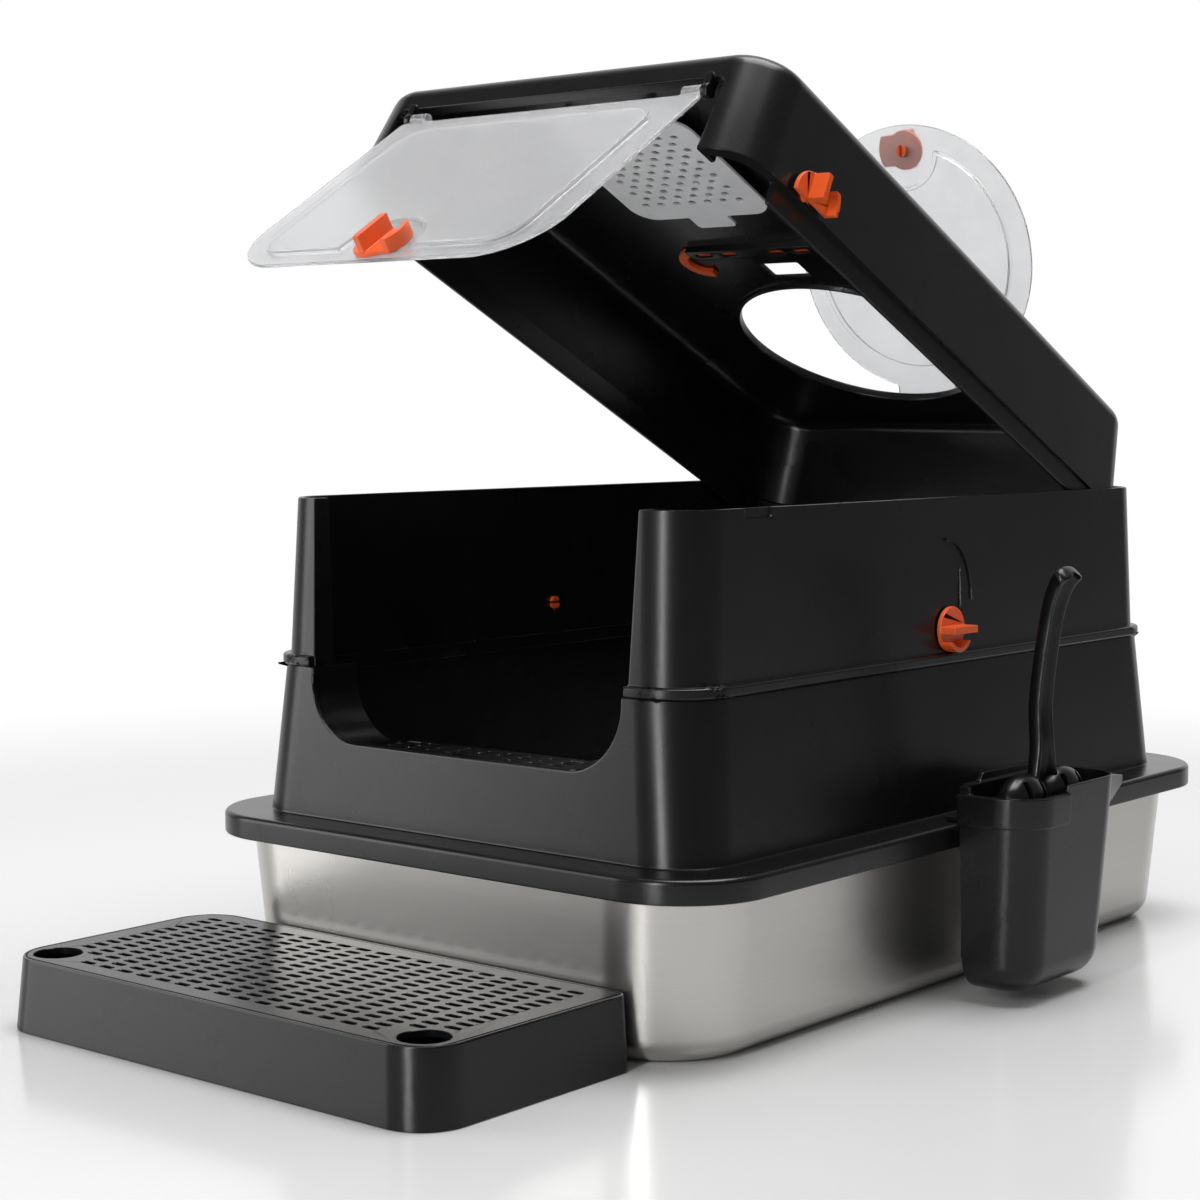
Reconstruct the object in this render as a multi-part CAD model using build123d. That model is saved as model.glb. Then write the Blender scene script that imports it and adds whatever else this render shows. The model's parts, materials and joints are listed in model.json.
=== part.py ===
from build123d import *
import math
import os

# Enclosed litter box: a steel pan under a two-tier black housing with a hinged hood.
# Millimetres, +Z up, floor at z = 0, entrance facing -Y, pan centred on the Z axis.
# The hood and what it carries are drawn shut and then swung to the open pose.

# Driving dimensions: materials and general clearances
WALL = 3.0
STEEL = 1.0
SEAT_GAP = 0.3
PIN_FIT = 0.05

# Steel pan
PAN_HALF_X = 183.8
PAN_HALF_Y = 291.3
PAN_HEIGHT = 104.0
PAN_CORNER = 58.0
PAN_DRAFT = 4.1
PAN_FOOT_R = 16.0
PAN_LIP = 5.0
PAN_HEM = 4.0

# Lower frame: flange over the pan rim, drafted wall, U-shaped entrance
FLANGE_HALF_X = 199.3
FLANGE_HALF_Y = 300.0
FLANGE_CORNER = 57.0
FLANGE_SKIRT = 14.0
LOCATOR_DEPTH = 8.0
LOCATOR_GAP = 1.0
LOWER_FOOT_X = 173.9
LOWER_FOOT_Y = 273.5
LOWER_TOP_X = 165.4
LOWER_TOP_Y = 267.2
LOWER_TOP_Z = 197.0
LOWER_CORNER = 38.0
ENTRY_HALF = 120.0
ENTRY_BOTTOM = 153.5
ENTRY_CORNER = 38.0
ENTRY_DEPTH = 38.0

# Slotted sill lying in the entrance
SILL_THICK = 2.8
SILL_MARGIN = 4.0
SILL_SLOT = 10.5
SILL_SLOT_WIDTH = 4.0
SILL_PITCH_X = 16.0
SILL_PITCH_Y = 9.0

# Upper frame: ridge band, drafted wall, front open between two posts
RIDGE_OUT = 4.6
RIDGE_HEIGHT = 6.3
UPPER_FOOT_X = 162.2
UPPER_FOOT_Y = 264.0
UPPER_TOP_X = 159.4
UPPER_TOP_Y = 259.1
UPPER_CORNER = 32.0
UPPER_TOP_Z = 298.9
SPIGOT_DEPTH = 9.5
SPIGOT_WALL = 2.4
SPIGOT_GAP = 0.8
POST_HALF_FOOT = 122.0
POST_HALF_TOP = 126.0
POST_RETURN = 12.0
CATCH_WIDTH = 25.0
CATCH_DEPTH = 1.4
CATCH_DROP = 5.5

# Hood, drawn shut
HOOD_SEAT_Z = UPPER_TOP_Z + SEAT_GAP
HOOD_TOP_Z = 369.0
HOOD_FRONT_X = 158.6
HOOD_REAR_X = 154.8
HOOD_FRONT_Y = -258.3
HOOD_REAR_Y = 247.0
HOOD_SIDE_DRAFT = 5.0
HOOD_FRONT_DRAFT = 8.8
HOOD_REAR_DRAFT = 13.0
HOOD_CORNER = 32.0
HOOD_TOP_R = 12.0
SKIRT_DROP = 13.3
SKIRT_FRONT_INSET = 4.0
SKIRT_INSET = 1.2
SKIRT_START = 40.0
DOORWAY_HALF = 126.0
DOORWAY_TOP = 349.3
DOORWAY_RETURN = 12.0
HOOD_OPEN_DEG = 26.0
HINGE_Y = 190.6
HINGE_Z = 293.0
HINGE_PIN_R = 2.5
HINGE_POCKET = 2.2

# Frosted front door
DOOR_AXIS_Y = -251.2
DOOR_AXIS_Z = 341.3
DOOR_HALF = 116.0
DOOR_DROP = 184.0
DOOR_TOP_GAP = 5.0
DOOR_THICK = 2.4
DOOR_CORNER = 42.0
DOOR_TOP_CORNER = 6.0
DOOR_BORDER_SIDE = 18.0
DOOR_BORDER_FOOT = 11.0
DOOR_BORDER_TOP = 14.0
DOOR_PANEL_CORNER = 22.0
DOOR_RELIEF = 2.6
DOOR_OPEN_DEG = 32.0
KNUCKLE_R = 3.6
KNUCKLE_IN = 99.0
KNUCKLE_OUT = 112.0
DOOR_PIN_R = 2.0
EAR_THICK = 5.0
DOOR_LATCH_DROP = 169.0
DOOR_NOTCH_R = 27.0

# Round hole in the hood's top and its frosted lid
HOLE_Y = 100.5
HOLE_R = 84.0
HOLE_COLLAR = 6.0
LID_R = 95.0
LID_THICK = 2.4
LID_DISH_R = 80.0
LID_DISH = 3.0
LID_AXIS_Y = 204.0
LID_OPEN_DEG = 52.0
LID_BARREL_R = 3.6
LID_BARREL_HALF = 24.0
LID_LUG = 7.0
LID_PIN_R = 1.8
LID_LATCH_R = 77.0
LID_NOTCH_R = 26.0
LATCH_SLOT_X = 30.0
LATCH_SLOT_OFFSET = 5.0
LATCH_SLOT_Y = 18.0
LATCH_SLOT_FROM_HOLE = 12.0

# Filter compartment under the ceiling
FILTER_HALF = 53.5
FILTER_REAR = -89.0
FILTER_FRONT = -205.0
FILTER_COVER = 2.0
FILTER_DROP = 7.2
FILTER_CORNER = 16.0
FILTER_FRAME_INSET = 5.0
FILTER_FRAME_WALL = 2.0
FILTER_PAD_GAP = 1.5
FILTER_TAB = 15.0
FILTER_TAB_OUT = 13.0
FILTER_HOLE_X = 5.2
FILTER_HOLE_Y = 4.4
FILTER_PITCH_X = 12.4
FILTER_PITCH_Y = 7.4
FILTER_PIN_R = 1.5
COVER_HINGE_ROOM = 5.0

# Orange insert in the ceiling behind four windows
INSERT_Y = -36.8
INSERT_HALF = 50.0
INSERT_WIDTH = 6.4
INSERT_THICK = 3.2
INSERT_END_R = 14.0
INSERT_RIB_HALF = 52.0
INSERT_RIB_WIDTH = 12.0
INSERT_FLOOR = 1.8
INSERT_WINDOW = 12.5
INSERT_WINDOW_WIDTH = 4.6
INSERT_WINDOWS = (-39.0, -19.0, 19.0, 39.0)

# Quarter-turn latches
LATCH_R = 14.0
LATCH_DISC = 3.0
LATCH_BAR = 4.4
LATCH_BAR_HEIGHT = 10.0
LATCH_SHAFT_R = 3.2
LATCH_HEAD_R = 4.4
LATCH_HEAD = 2.6
LATCH_SPLIT = 1.5
LATCH_REACH = 21.0
LATCH_LIP = 3.2
LATCH_LIP_HEIGHT = 6.0
LATCH_TONGUE_WIDTH = 11.0
LATCH_FLAT = 2.5
HOOD_LATCH_Y = -195.7
HOOD_LATCH_Z = 302.9
TIER_LOCK_Y = 0.0
TIER_LOCK_Z = 218.0

# Scoop holder on the right-hand flange, and the scoop in it
HOLDER_GAP = 0.9
HOLDER_LEFT = -54.0
HOLDER_RIGHT = 62.0
HOLDER_OUT = 49.0
HOLDER_RIM_Z = 131.0
HOLDER_LIP_Z = 126.5
HOLDER_FLOOR_Z = 7.0
HOLDER_DRAFT = 7.0
HOLDER_WALL = 2.5
HOLDER_CORNER = 24.0
HOLDER_FOOT_R = 20.0
HOLDER_BAND = 2.5
HOLDER_BAND_DROP = 18.0
HOLDER_BAND_END = -10.0
HOLDER_TAB_REACH = 12.0
HOLDER_TAB_HALF = 42.0
WING_TIP_Y = 150.0
WING_TIP_Z = 114.0
WING_ROOT_Y = 44.0
WING_ROOT_OUT = 31.0
WING_DROP = 38.0
BACK_TOP_Z = 136.0
BACK_INSET = 9.0
SCOOP_SIDE_GAP = 4.5
SCOOP_BACK_GAP = 8.0
SCOOP_CORNER = 18.0
SCOOP_WALL = 2.2
SCOOP_TOP_Z = 136.0
SCOOP_TOP_R = 10.0
SCOOP_SLOTS = 5
SCOOP_SLOT_WIDTH = 6.0
SCOOP_SLOT_LENGTH = 74.0
SCOOP_SLOT_TOP = 7.0
HANDLE_WIDTH = 16.0
HANDLE_DEPTH = 9.0
HANDLE_WALL = 2.2

# Step in front of the entrance
STEP_LEFT = -194.0
STEP_RIGHT = 146.0
STEP_FRONT = -448.0
STEP_GAP = 1.0
STEP_HEIGHT = 42.0
STEP_CORNER = 28.0
STEP_SQUARE_CORNER = 8.0
STEP_DRAFT = 3.0
STEP_RIM = 3.0
STEP_LEDGE = 4.0
GRATE_THICK = 4.0
GRATE_GAP = 0.4
GRATE_MARGIN = 7.0
GRATE_SLOT = 10.5
GRATE_SLOT_WIDTH = 4.2
GRATE_PITCH_X = 16.0
GRATE_PITCH_Y = 8.7
FINGER_HOLE_R = 14.0
FINGER_HOLE_INSET = 25.0


def rounded(half_x, y0, y1, radius, z):
    """Rounded rectangle centred on x = 0, from y0 to y1, at height z."""
    return Pos(0, (y0 + y1) / 2, z) * RectangleRounded(2 * half_x, y1 - y0, radius)


def block(x0, x1, y0, y1, z0, z1):
    """Box given by its limits."""
    centre = Pos((x0 + x1) / 2, (y0 + y1) / 2, (z0 + z1) / 2)
    return centre * Box(x1 - x0, y1 - y0, z1 - z0)


def rod_x(radius, x0, x1, y, z):
    """Round bar along X."""
    return Pos((x0 + x1) / 2, y, z) * Rot(0, 90, 0) * Cylinder(radius, x1 - x0)


def along_y(outline, y0, y1):
    """Prism of an outline drawn in X and Z, from y0 to y1."""
    return extrude(Plane.XZ.offset(-y0) * outline, amount=y1 - y0, dir=(0, 1, 0))


def along_x(outline, x0, x1):
    """Prism of an outline drawn in Y and Z, from x0 to x1."""
    return extrude(Plane.YZ.offset(x0) * outline, amount=x1 - x0, dir=(1, 0, 0))


def both_sides(shape):
    """A shape on the right-hand side together with its mirror twin."""
    return shape + mirror(shape, about=Plane.YZ)


def leaning_face(x, y, z, out_x, out_y, rise, run, inset):
    """Point and outward normal of a wall that leans in by run over rise, moved in by an inset."""
    lean = math.atan2(run, rise)
    normal = Vector(out_x * math.cos(lean), out_y * math.cos(lean), math.sin(lean)).normalized()
    return Vector(x, y, z) - normal * inset, normal


def planed(faces, z0, z1):
    """Upright solid between two heights, bounded by leaning faces."""
    body = block(-900, 900, -900, 900, z0, z1)
    for point, normal in faces:
        beyond = Box(4000, 4000, 1500, align=(Align.CENTER, Align.CENTER, Align.MIN))
        body -= Plane(origin=point, z_dir=normal) * beyond
    return body


def upright_edges(solid):
    """Edges that run from a solid's foot to its top."""
    return solid.edges().filter_by(lambda edge: abs((edge @ 1 - edge @ 0).Z) > 1)


def leaning_box(foot, top, z0, z1, corner, inset):
    """Box whose half-sizes go from foot to top between two heights, with rounded upright edges."""
    run_x = foot[0] - top[0]
    run_y = foot[1] - top[1]
    faces = []
    for side in (-1, 1):
        faces.append(leaning_face(side * foot[0], 0, z0, side, 0, z1 - z0, run_x, inset))
        faces.append(leaning_face(0, side * foot[1], z0, 0, side, z1 - z0, run_y, inset))
    body = planed(faces, z0, z1)
    return fillet(upright_edges(body), corner - inset)


def lower_edges(solid):
    """Edges around a solid's lowest face."""
    return solid.faces().sort_by(Axis.Z)[0].edges()


def upper_edges(solid):
    """Edges around a solid's highest face."""
    return solid.faces().sort_by(Axis.Z)[-1].edges()


# Steel pan
def pan_form(inset, z0, foot_r):
    """Solid with the pan's outside, drawn in by an inset and filleted at the foot."""
    shrink = PAN_HEIGHT * math.tan(math.radians(PAN_DRAFT))
    foot = (PAN_HALF_X - shrink, PAN_HALF_Y - shrink)
    body = leaning_box(foot, (PAN_HALF_X, PAN_HALF_Y), 0, PAN_HEIGHT, PAN_CORNER, inset)
    if z0 > 0:
        body -= block(-900, 900, -900, 900, -1, z0)
    return fillet(lower_edges(body), foot_r)


def pan_lip(z0, z1, width):
    """Band of the turned-out rim between two heights."""
    out = PAN_LIP
    outer = rounded(PAN_HALF_X + out, -PAN_HALF_Y - out, PAN_HALF_Y + out, PAN_CORNER + out, z0)
    out = PAN_LIP - width
    inner = rounded(PAN_HALF_X + out, -PAN_HALF_Y - out, PAN_HALF_Y + out, PAN_CORNER + out, z0)
    return extrude(outer - inner, amount=z1 - z0)


def steel_pan():
    """Deep pan with a turned-out, hemmed rim."""
    shell = pan_form(0, 0, PAN_FOOT_R) - pan_form(STEEL, STEEL, PAN_FOOT_R - STEEL)
    rim = pan_lip(PAN_HEIGHT - STEEL, PAN_HEIGHT, PAN_LIP + STEEL / 2)
    hem = pan_lip(PAN_HEIGHT - PAN_HEM, PAN_HEIGHT, STEEL)
    return shell + rim + hem


# Lower frame
FLANGE_TOP = PAN_HEIGHT + WALL


def lower_form(inset):
    """Solid with the lower tier's outside, from the pan rim to its top."""
    foot = (LOWER_FOOT_X, LOWER_FOOT_Y)
    top = (LOWER_TOP_X, LOWER_TOP_Y)
    return leaning_box(foot, top, PAN_HEIGHT, LOWER_TOP_Z, LOWER_CORNER, inset)


def entry_outline(half, bottom, corner):
    """U-shaped outline in X and Z, open upwards past the tier's top."""
    top = LOWER_TOP_Z + 20
    outline = Rectangle(2 * half, top - bottom)
    outline = fillet(outline.vertices().sort_by(Axis.Y)[:2], corner)
    return Pos(0, (top + bottom) / 2) * outline


SILL_SEAT = ENTRY_BOTTOM - SILL_THICK - SEAT_GAP


def lower_frame():
    """Flange over the pan rim, drafted tier wall and the lined entrance."""
    flange = extrude(
        rounded(FLANGE_HALF_X, -FLANGE_HALF_Y, FLANGE_HALF_Y, FLANGE_CORNER, FLANGE_TOP - FLANGE_SKIRT),
        amount=FLANGE_SKIRT,
    )
    flange = fillet(upper_edges(flange), WALL)
    hollow_x = FLANGE_HALF_X - WALL
    hollow_y = FLANGE_HALF_Y - WALL
    flange -= extrude(
        rounded(hollow_x, -hollow_y, hollow_y, FLANGE_CORNER - WALL, FLANGE_TOP - FLANGE_SKIRT),
        amount=FLANGE_SKIRT - WALL,
    )
    inset = STEEL + LOCATOR_GAP
    locator_z = PAN_HEIGHT - LOCATOR_DEPTH
    loc_x = PAN_HALF_X - inset
    loc_y = PAN_HALF_Y - inset
    loc_r = PAN_CORNER - inset
    locator = rounded(loc_x, -loc_y, loc_y, loc_r, locator_z)
    locator -= rounded(loc_x - WALL, -loc_y + WALL, loc_y - WALL, loc_r - WALL, locator_z)
    body = flange + extrude(locator, amount=LOCATOR_DEPTH)
    outer = lower_form(0)
    body += outer
    body -= lower_form(WALL)
    front = -LOWER_FOOT_Y
    body -= along_y(entry_outline(ENTRY_HALF, ENTRY_BOTTOM, ENTRY_CORNER), front - 5, front + 30)
    lining = entry_outline(ENTRY_HALF + WALL, SILL_SEAT - WALL, ENTRY_CORNER + WALL)
    lining -= entry_outline(ENTRY_HALF, SILL_SEAT, ENTRY_CORNER)
    sleeve = along_y(lining, front, -LOWER_TOP_Y + ENTRY_DEPTH)
    sleeve &= outer
    lip_fill = along_y(entry_outline(ENTRY_HALF, ENTRY_BOTTOM, ENTRY_CORNER), front, front + 60)
    front_wall = outer - lower_form(WALL)
    sleeve -= front_wall & lip_fill
    return body + sleeve


def slot_grid(length, width, pitch_x, pitch_y, count_x, count_y):
    """Pattern of round-ended slots, centred on the origin."""
    places = GridLocations(pitch_x, pitch_y, count_x, count_y)
    return Sketch() + [place * SlotOverall(length, width) for place in places]


def entry_grate():
    """Slotted sill plate lying on the lower lining of the entrance."""
    back = -LOWER_TOP_Y + ENTRY_DEPTH
    front = -LOWER_TOP_Y + WALL + SEAT_GAP
    half = ENTRY_HALF - ENTRY_CORNER
    plate = rounded(half, front, back, 5, SILL_SEAT)
    count_x = int((2 * half - 2 * SILL_MARGIN) / SILL_PITCH_X)
    count_y = int((back - front - SILL_MARGIN) / SILL_PITCH_Y)
    slots = slot_grid(SILL_SLOT, SILL_SLOT_WIDTH, SILL_PITCH_X, SILL_PITCH_Y, count_x, count_y)
    plate -= Pos(0, (front + back) / 2, SILL_SEAT) * slots
    face = DOOR_AXIS_Y - DOOR_THICK / 2
    keeper_y0 = face - 2 * SEAT_GAP - LATCH_DISC - LATCH_LIP_HEIGHT
    keeper = block(
        -LATCH_TONGUE_WIDTH - 1,
        LATCH_TONGUE_WIDTH + 1,
        keeper_y0,
        face,
        SILL_SEAT - 1,
        SILL_SEAT + 2 * SILL_THICK,
    )
    return extrude(plate, amount=SILL_THICK) - keeper


# Upper frame
RIDGE_BOTTOM = LOWER_TOP_Z
RIDGE_TOP = RIDGE_BOTTOM + RIDGE_HEIGHT


def upper_form(inset):
    """Solid with the upper tier's outside above the ridge."""
    foot = (UPPER_FOOT_X, UPPER_FOOT_Y)
    top = (UPPER_TOP_X, UPPER_TOP_Y)
    return leaning_box(foot, top, RIDGE_BOTTOM, UPPER_TOP_Z, UPPER_CORNER, inset)


def upper_half_x(z):
    """Half-width of the upper tier's outside at a height."""
    share = (z - RIDGE_BOTTOM) / (UPPER_TOP_Z - RIDGE_BOTTOM)
    return UPPER_FOOT_X + (UPPER_TOP_X - UPPER_FOOT_X) * share


def post_outline(extra, z0):
    """Gap between the front posts, in X and Z, from z0 to above the top."""
    top = UPPER_TOP_Z + 10
    points = [
        (-POST_HALF_FOOT - extra, z0),
        (POST_HALF_FOOT + extra, z0),
        (POST_HALF_TOP + extra, top),
        (-POST_HALF_TOP - extra, top),
    ]
    return Polygon(*points, align=None)


def upper_frame():
    """Wall ring with a ridge at its foot, a spigot below it and an open front."""
    ridge_x = UPPER_FOOT_X + RIDGE_OUT
    ridge_y = UPPER_FOOT_Y + RIDGE_OUT
    ridge = extrude(
        rounded(ridge_x, -ridge_y, ridge_y, UPPER_CORNER + RIDGE_OUT, RIDGE_BOTTOM), amount=RIDGE_HEIGHT
    )
    ridge = fillet(upper_edges(ridge) + lower_edges(ridge), 1.6)
    outer = upper_form(0)
    body = ridge + outer
    spigot_x = LOWER_TOP_X - WALL - SPIGOT_GAP
    spigot_y = LOWER_TOP_Y - WALL - SPIGOT_GAP
    spigot_r = LOWER_CORNER - WALL - SPIGOT_GAP
    spigot = rounded(spigot_x, -spigot_y, spigot_y, spigot_r, RIDGE_BOTTOM - SPIGOT_DEPTH)
    spigot = extrude(spigot, amount=SPIGOT_DEPTH)
    spigot -= along_y(post_outline(WALL + 3, RIDGE_BOTTOM - SPIGOT_DEPTH), -UPPER_FOOT_Y - 20, -UPPER_FOOT_Y + 60)
    body += spigot
    core_x = spigot_x - SPIGOT_WALL
    core_y = spigot_y - SPIGOT_WALL
    core = rounded(core_x, -core_y, core_y, spigot_r - SPIGOT_WALL, RIDGE_BOTTOM - SPIGOT_DEPTH)
    body -= extrude(core, amount=SPIGOT_DEPTH)
    body -= upper_form(WALL)
    body -= along_y(post_outline(0, RIDGE_BOTTOM - 1), -UPPER_FOOT_Y - 20, -UPPER_FOOT_Y + 60)
    lining = post_outline(WALL, RIDGE_BOTTOM) - post_outline(0, RIDGE_BOTTOM)
    returns = along_y(lining, -UPPER_FOOT_Y, -UPPER_TOP_Y + POST_RETURN)
    body += returns & outer
    lock_x = upper_half_x(TIER_LOCK_Z)
    lock_hole = rod_x(LATCH_SHAFT_R + PIN_FIT, lock_x - 3 * WALL, lock_x + WALL, TIER_LOCK_Y, TIER_LOCK_Z)
    body -= both_sides(lock_hole)
    pocket_x = upper_half_x(HINGE_Z) - WALL
    pocket = rod_x(HINGE_PIN_R + PIN_FIT, pocket_x - WALL, pocket_x + HINGE_POCKET, HINGE_Y, HINGE_Z)
    body -= both_sides(pocket)
    catch = block(
        UPPER_TOP_X - CATCH_DEPTH,
        UPPER_TOP_X + WALL,
        HOOD_LATCH_Y - CATCH_WIDTH / 2,
        HOOD_LATCH_Y + CATCH_WIDTH / 2,
        UPPER_TOP_Z - CATCH_DROP,
        UPPER_TOP_Z + WALL,
    )
    return body - both_sides(catch)


# Hood, drawn shut
CEILING = HOOD_TOP_Z - WALL
SKIRT_BOTTOM = HOOD_SEAT_Z - SKIRT_DROP


HOOD_RISE = HOOD_TOP_Z - HOOD_SEAT_Z
HOOD_NARROWING = (HOOD_FRONT_X - HOOD_REAR_X) / (HOOD_REAR_Y - HOOD_FRONT_Y)


def hood_form(inset, z0, z1):
    """Solid with the hood's outside between two heights: narrower at the rear, rounded corners."""
    faces = [
        leaning_face(0, HOOD_FRONT_Y, HOOD_SEAT_Z, 0, -1, HOOD_RISE, HOOD_FRONT_DRAFT, inset),
        leaning_face(0, HOOD_REAR_Y, HOOD_SEAT_Z, 0, 1, HOOD_RISE, HOOD_REAR_DRAFT, inset),
    ]
    for side in (-1, 1):
        faces.append(
            leaning_face(
                side * HOOD_FRONT_X,
                HOOD_FRONT_Y,
                HOOD_SEAT_Z,
                side,
                HOOD_NARROWING,
                HOOD_RISE,
                HOOD_SIDE_DRAFT,
                inset,
            )
        )
    body = planed(faces, z0, z1)
    return fillet(upright_edges(body), HOOD_CORNER - inset)


def hood_half_x(y, z):
    """Half-width of the hood's outside at a place on its side."""
    lean = HOOD_SIDE_DRAFT / HOOD_RISE
    return HOOD_FRONT_X - HOOD_NARROWING * (y - HOOD_FRONT_Y) - lean * (z - HOOD_SEAT_Z)


def skirt_outline(inset, z):
    """Outline of the skirt that drops inside the upper tier."""
    front = HOOD_FRONT_Y + SKIRT_FRONT_INSET + inset
    return rounded(HOOD_REAR_X - inset, front, HOOD_REAR_Y - inset, HOOD_CORNER - inset, z)


def doorway(extra, z0):
    """Door opening in X and Z, with rounded upper corners."""
    top = DOORWAY_TOP + extra
    outline = Rectangle(2 * (DOORWAY_HALF + extra), top - z0)
    outline = fillet(outline.vertices().sort_by(Axis.Y)[-2:], 5 + extra)
    return Pos(0, (top + z0) / 2) * outline


def hood_shell():
    """Hollow cover with its seat and skirt."""
    outer = hood_form(0, HOOD_SEAT_Z, HOOD_TOP_Z)
    outer = fillet(upper_edges(outer), HOOD_TOP_R)
    inner = hood_form(WALL, HOOD_SEAT_Z + WALL, CEILING)
    inner = fillet(upper_edges(inner), HOOD_TOP_R - WALL)
    skirt = extrude(skirt_outline(SKIRT_INSET, SKIRT_BOTTOM), amount=SKIRT_DROP + WALL)
    core = extrude(skirt_outline(SKIRT_INSET + WALL, SKIRT_BOTTOM), amount=SKIRT_DROP + WALL)
    return outer + skirt - core - inner


def door_ears():
    """Two ears that carry the door's pins."""
    x0 = KNUCKLE_OUT + SEAT_GAP
    ear = block(x0, x0 + EAR_THICK, DOOR_AXIS_Y - 2.4, DOOR_AXIS_Y + 5, DOOR_AXIS_Z, DOORWAY_TOP + WALL)
    ear += rod_x(DOOR_PIN_R + 2.6, x0, x0 + EAR_THICK, DOOR_AXIS_Y + 0.6, DOOR_AXIS_Z)
    ear -= rod_x(DOOR_PIN_R + PIN_FIT, x0 - 1, x0 + EAR_THICK - 1, DOOR_AXIS_Y, DOOR_AXIS_Z)
    return both_sides(ear)


LID_AXIS_Z = HOOD_TOP_Z + SEAT_GAP + LID_BARREL_R + 0.4


def lid_lugs():
    """Two lugs on the hood's top that carry the lid's barrel."""
    x0 = LID_BARREL_HALF + SEAT_GAP
    lug = block(x0, x0 + LID_LUG, LID_AXIS_Y - LID_BARREL_R, LID_AXIS_Y + LID_BARREL_R, CEILING, LID_AXIS_Z)
    lug += rod_x(LID_BARREL_R, x0, x0 + LID_LUG, LID_AXIS_Y, LID_AXIS_Z)
    lug -= rod_x(LID_PIN_R + PIN_FIT, x0 - 1, x0 + LID_LUG - 2, LID_AXIS_Y, LID_AXIS_Z)
    return both_sides(lug)


COVER_TOP = CEILING - FILTER_DROP + FILTER_COVER
COVER_AXIS_Y = FILTER_FRONT
COVER_AXIS_Z = CEILING - FILTER_DROP + FILTER_COVER / 2
COVER_EAR_X = FILTER_HALF - FILTER_CORNER - 8


def filter_frame():
    """Low wall around the filter pad and the two ears of its cover."""
    half = FILTER_HALF - FILTER_FRAME_INSET
    y0 = FILTER_FRONT + FILTER_FRAME_INSET + 3
    y1 = FILTER_REAR - FILTER_FRAME_INSET
    z0 = COVER_TOP + SEAT_GAP
    outline = rounded(half, y0, y1, FILTER_CORNER - FILTER_FRAME_INSET, z0)
    thin = FILTER_FRAME_WALL
    outline -= rounded(half - thin, y0 + thin, y1 - thin, FILTER_CORNER - FILTER_FRAME_INSET - thin, z0)
    wall = extrude(outline, amount=CEILING - z0 + 0.5)
    ear = block(
        COVER_EAR_X + SEAT_GAP,
        COVER_EAR_X + SEAT_GAP + 4,
        COVER_AXIS_Y - 3,
        COVER_AXIS_Y + 3,
        COVER_AXIS_Z - 3,
        CEILING + 0.5,
    )
    ear -= rod_x(FILTER_PIN_R + PIN_FIT, COVER_EAR_X - 1, COVER_EAR_X + 3, COVER_AXIS_Y, COVER_AXIS_Z)
    return wall + both_sides(ear)


INSERT_TOP = CEILING
INSERT_BOTTOM = CEILING - INSERT_THICK


def insert_rib():
    """Rib across the ceiling with a channel for the insert and four windows."""
    y0 = INSERT_Y - INSERT_RIB_WIDTH / 2
    y1 = INSERT_Y + INSERT_RIB_WIDTH / 2
    z0 = INSERT_BOTTOM - SEAT_GAP - INSERT_FLOOR
    rib = block(-INSERT_RIB_HALF, INSERT_RIB_HALF, y0, y1, z0, CEILING + 0.5)
    gap = INSERT_WIDTH / 2 + SEAT_GAP
    rib -= block(-INSERT_RIB_HALF, INSERT_RIB_HALF, INSERT_Y - gap, INSERT_Y + gap, z0 + INSERT_FLOOR, CEILING)
    windows = [Pos(x, INSERT_Y, z0 - 1) * SlotOverall(INSERT_WINDOW, INSERT_WINDOW_WIDTH) for x in INSERT_WINDOWS]
    return rib - extrude(Sketch() + windows, amount=INSERT_FLOOR + 2)


def hood():
    """Cover with door opening, round hole, latch slot, ceiling fittings and hinge pins."""
    body = hood_shell()
    front = HOOD_FRONT_Y
    body -= along_y(doorway(0, SKIRT_BOTTOM - 5), front - 10, front + 45)
    lining = doorway(WALL, HOOD_SEAT_Z) - doorway(0, HOOD_SEAT_Z - 1)
    returns = along_y(lining, front + SKIRT_FRONT_INSET, front + SKIRT_FRONT_INSET + DOORWAY_RETURN)
    body += returns & hood_form(0, HOOD_SEAT_Z, HOOD_TOP_Z)
    body -= block(-HOOD_FRONT_X, HOOD_FRONT_X, front - 10, front + SKIRT_START, SKIRT_BOTTOM - 1, HOOD_SEAT_Z)
    body += door_ears()
    collar = Pos(0, HOLE_Y, CEILING - HOLE_COLLAR + WALL) * Cylinder(
        HOLE_R + WALL, HOLE_COLLAR, align=(Align.CENTER, Align.CENTER, Align.MIN)
    )
    body += collar
    body -= Pos(0, HOLE_Y, HOOD_TOP_Z) * Cylinder(HOLE_R, 8 * WALL)
    slot_y = HOLE_Y - HOLE_R - LATCH_SLOT_FROM_HOLE - LATCH_SLOT_Y / 2
    body -= Pos(LATCH_SLOT_OFFSET, slot_y, HOOD_TOP_Z) * Box(LATCH_SLOT_X, LATCH_SLOT_Y, 4 * WALL)
    body += lid_lugs() + filter_frame() + insert_rib()
    pin_end = upper_half_x(HINGE_Z) - WALL + HINGE_POCKET - SEAT_GAP
    pin_start = HOOD_REAR_X - SKIRT_INSET - WALL / 2
    body += both_sides(rod_x(HINGE_PIN_R, pin_start, pin_end, HINGE_Y, HINGE_Z))
    latch_x = hood_half_x(HOOD_LATCH_Y, HOOD_LATCH_Z)
    hole = rod_x(LATCH_SHAFT_R + PIN_FIT, latch_x - 4 * WALL, latch_x + WALL, HOOD_LATCH_Y, HOOD_LATCH_Z)
    return body - both_sides(hole)


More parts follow.
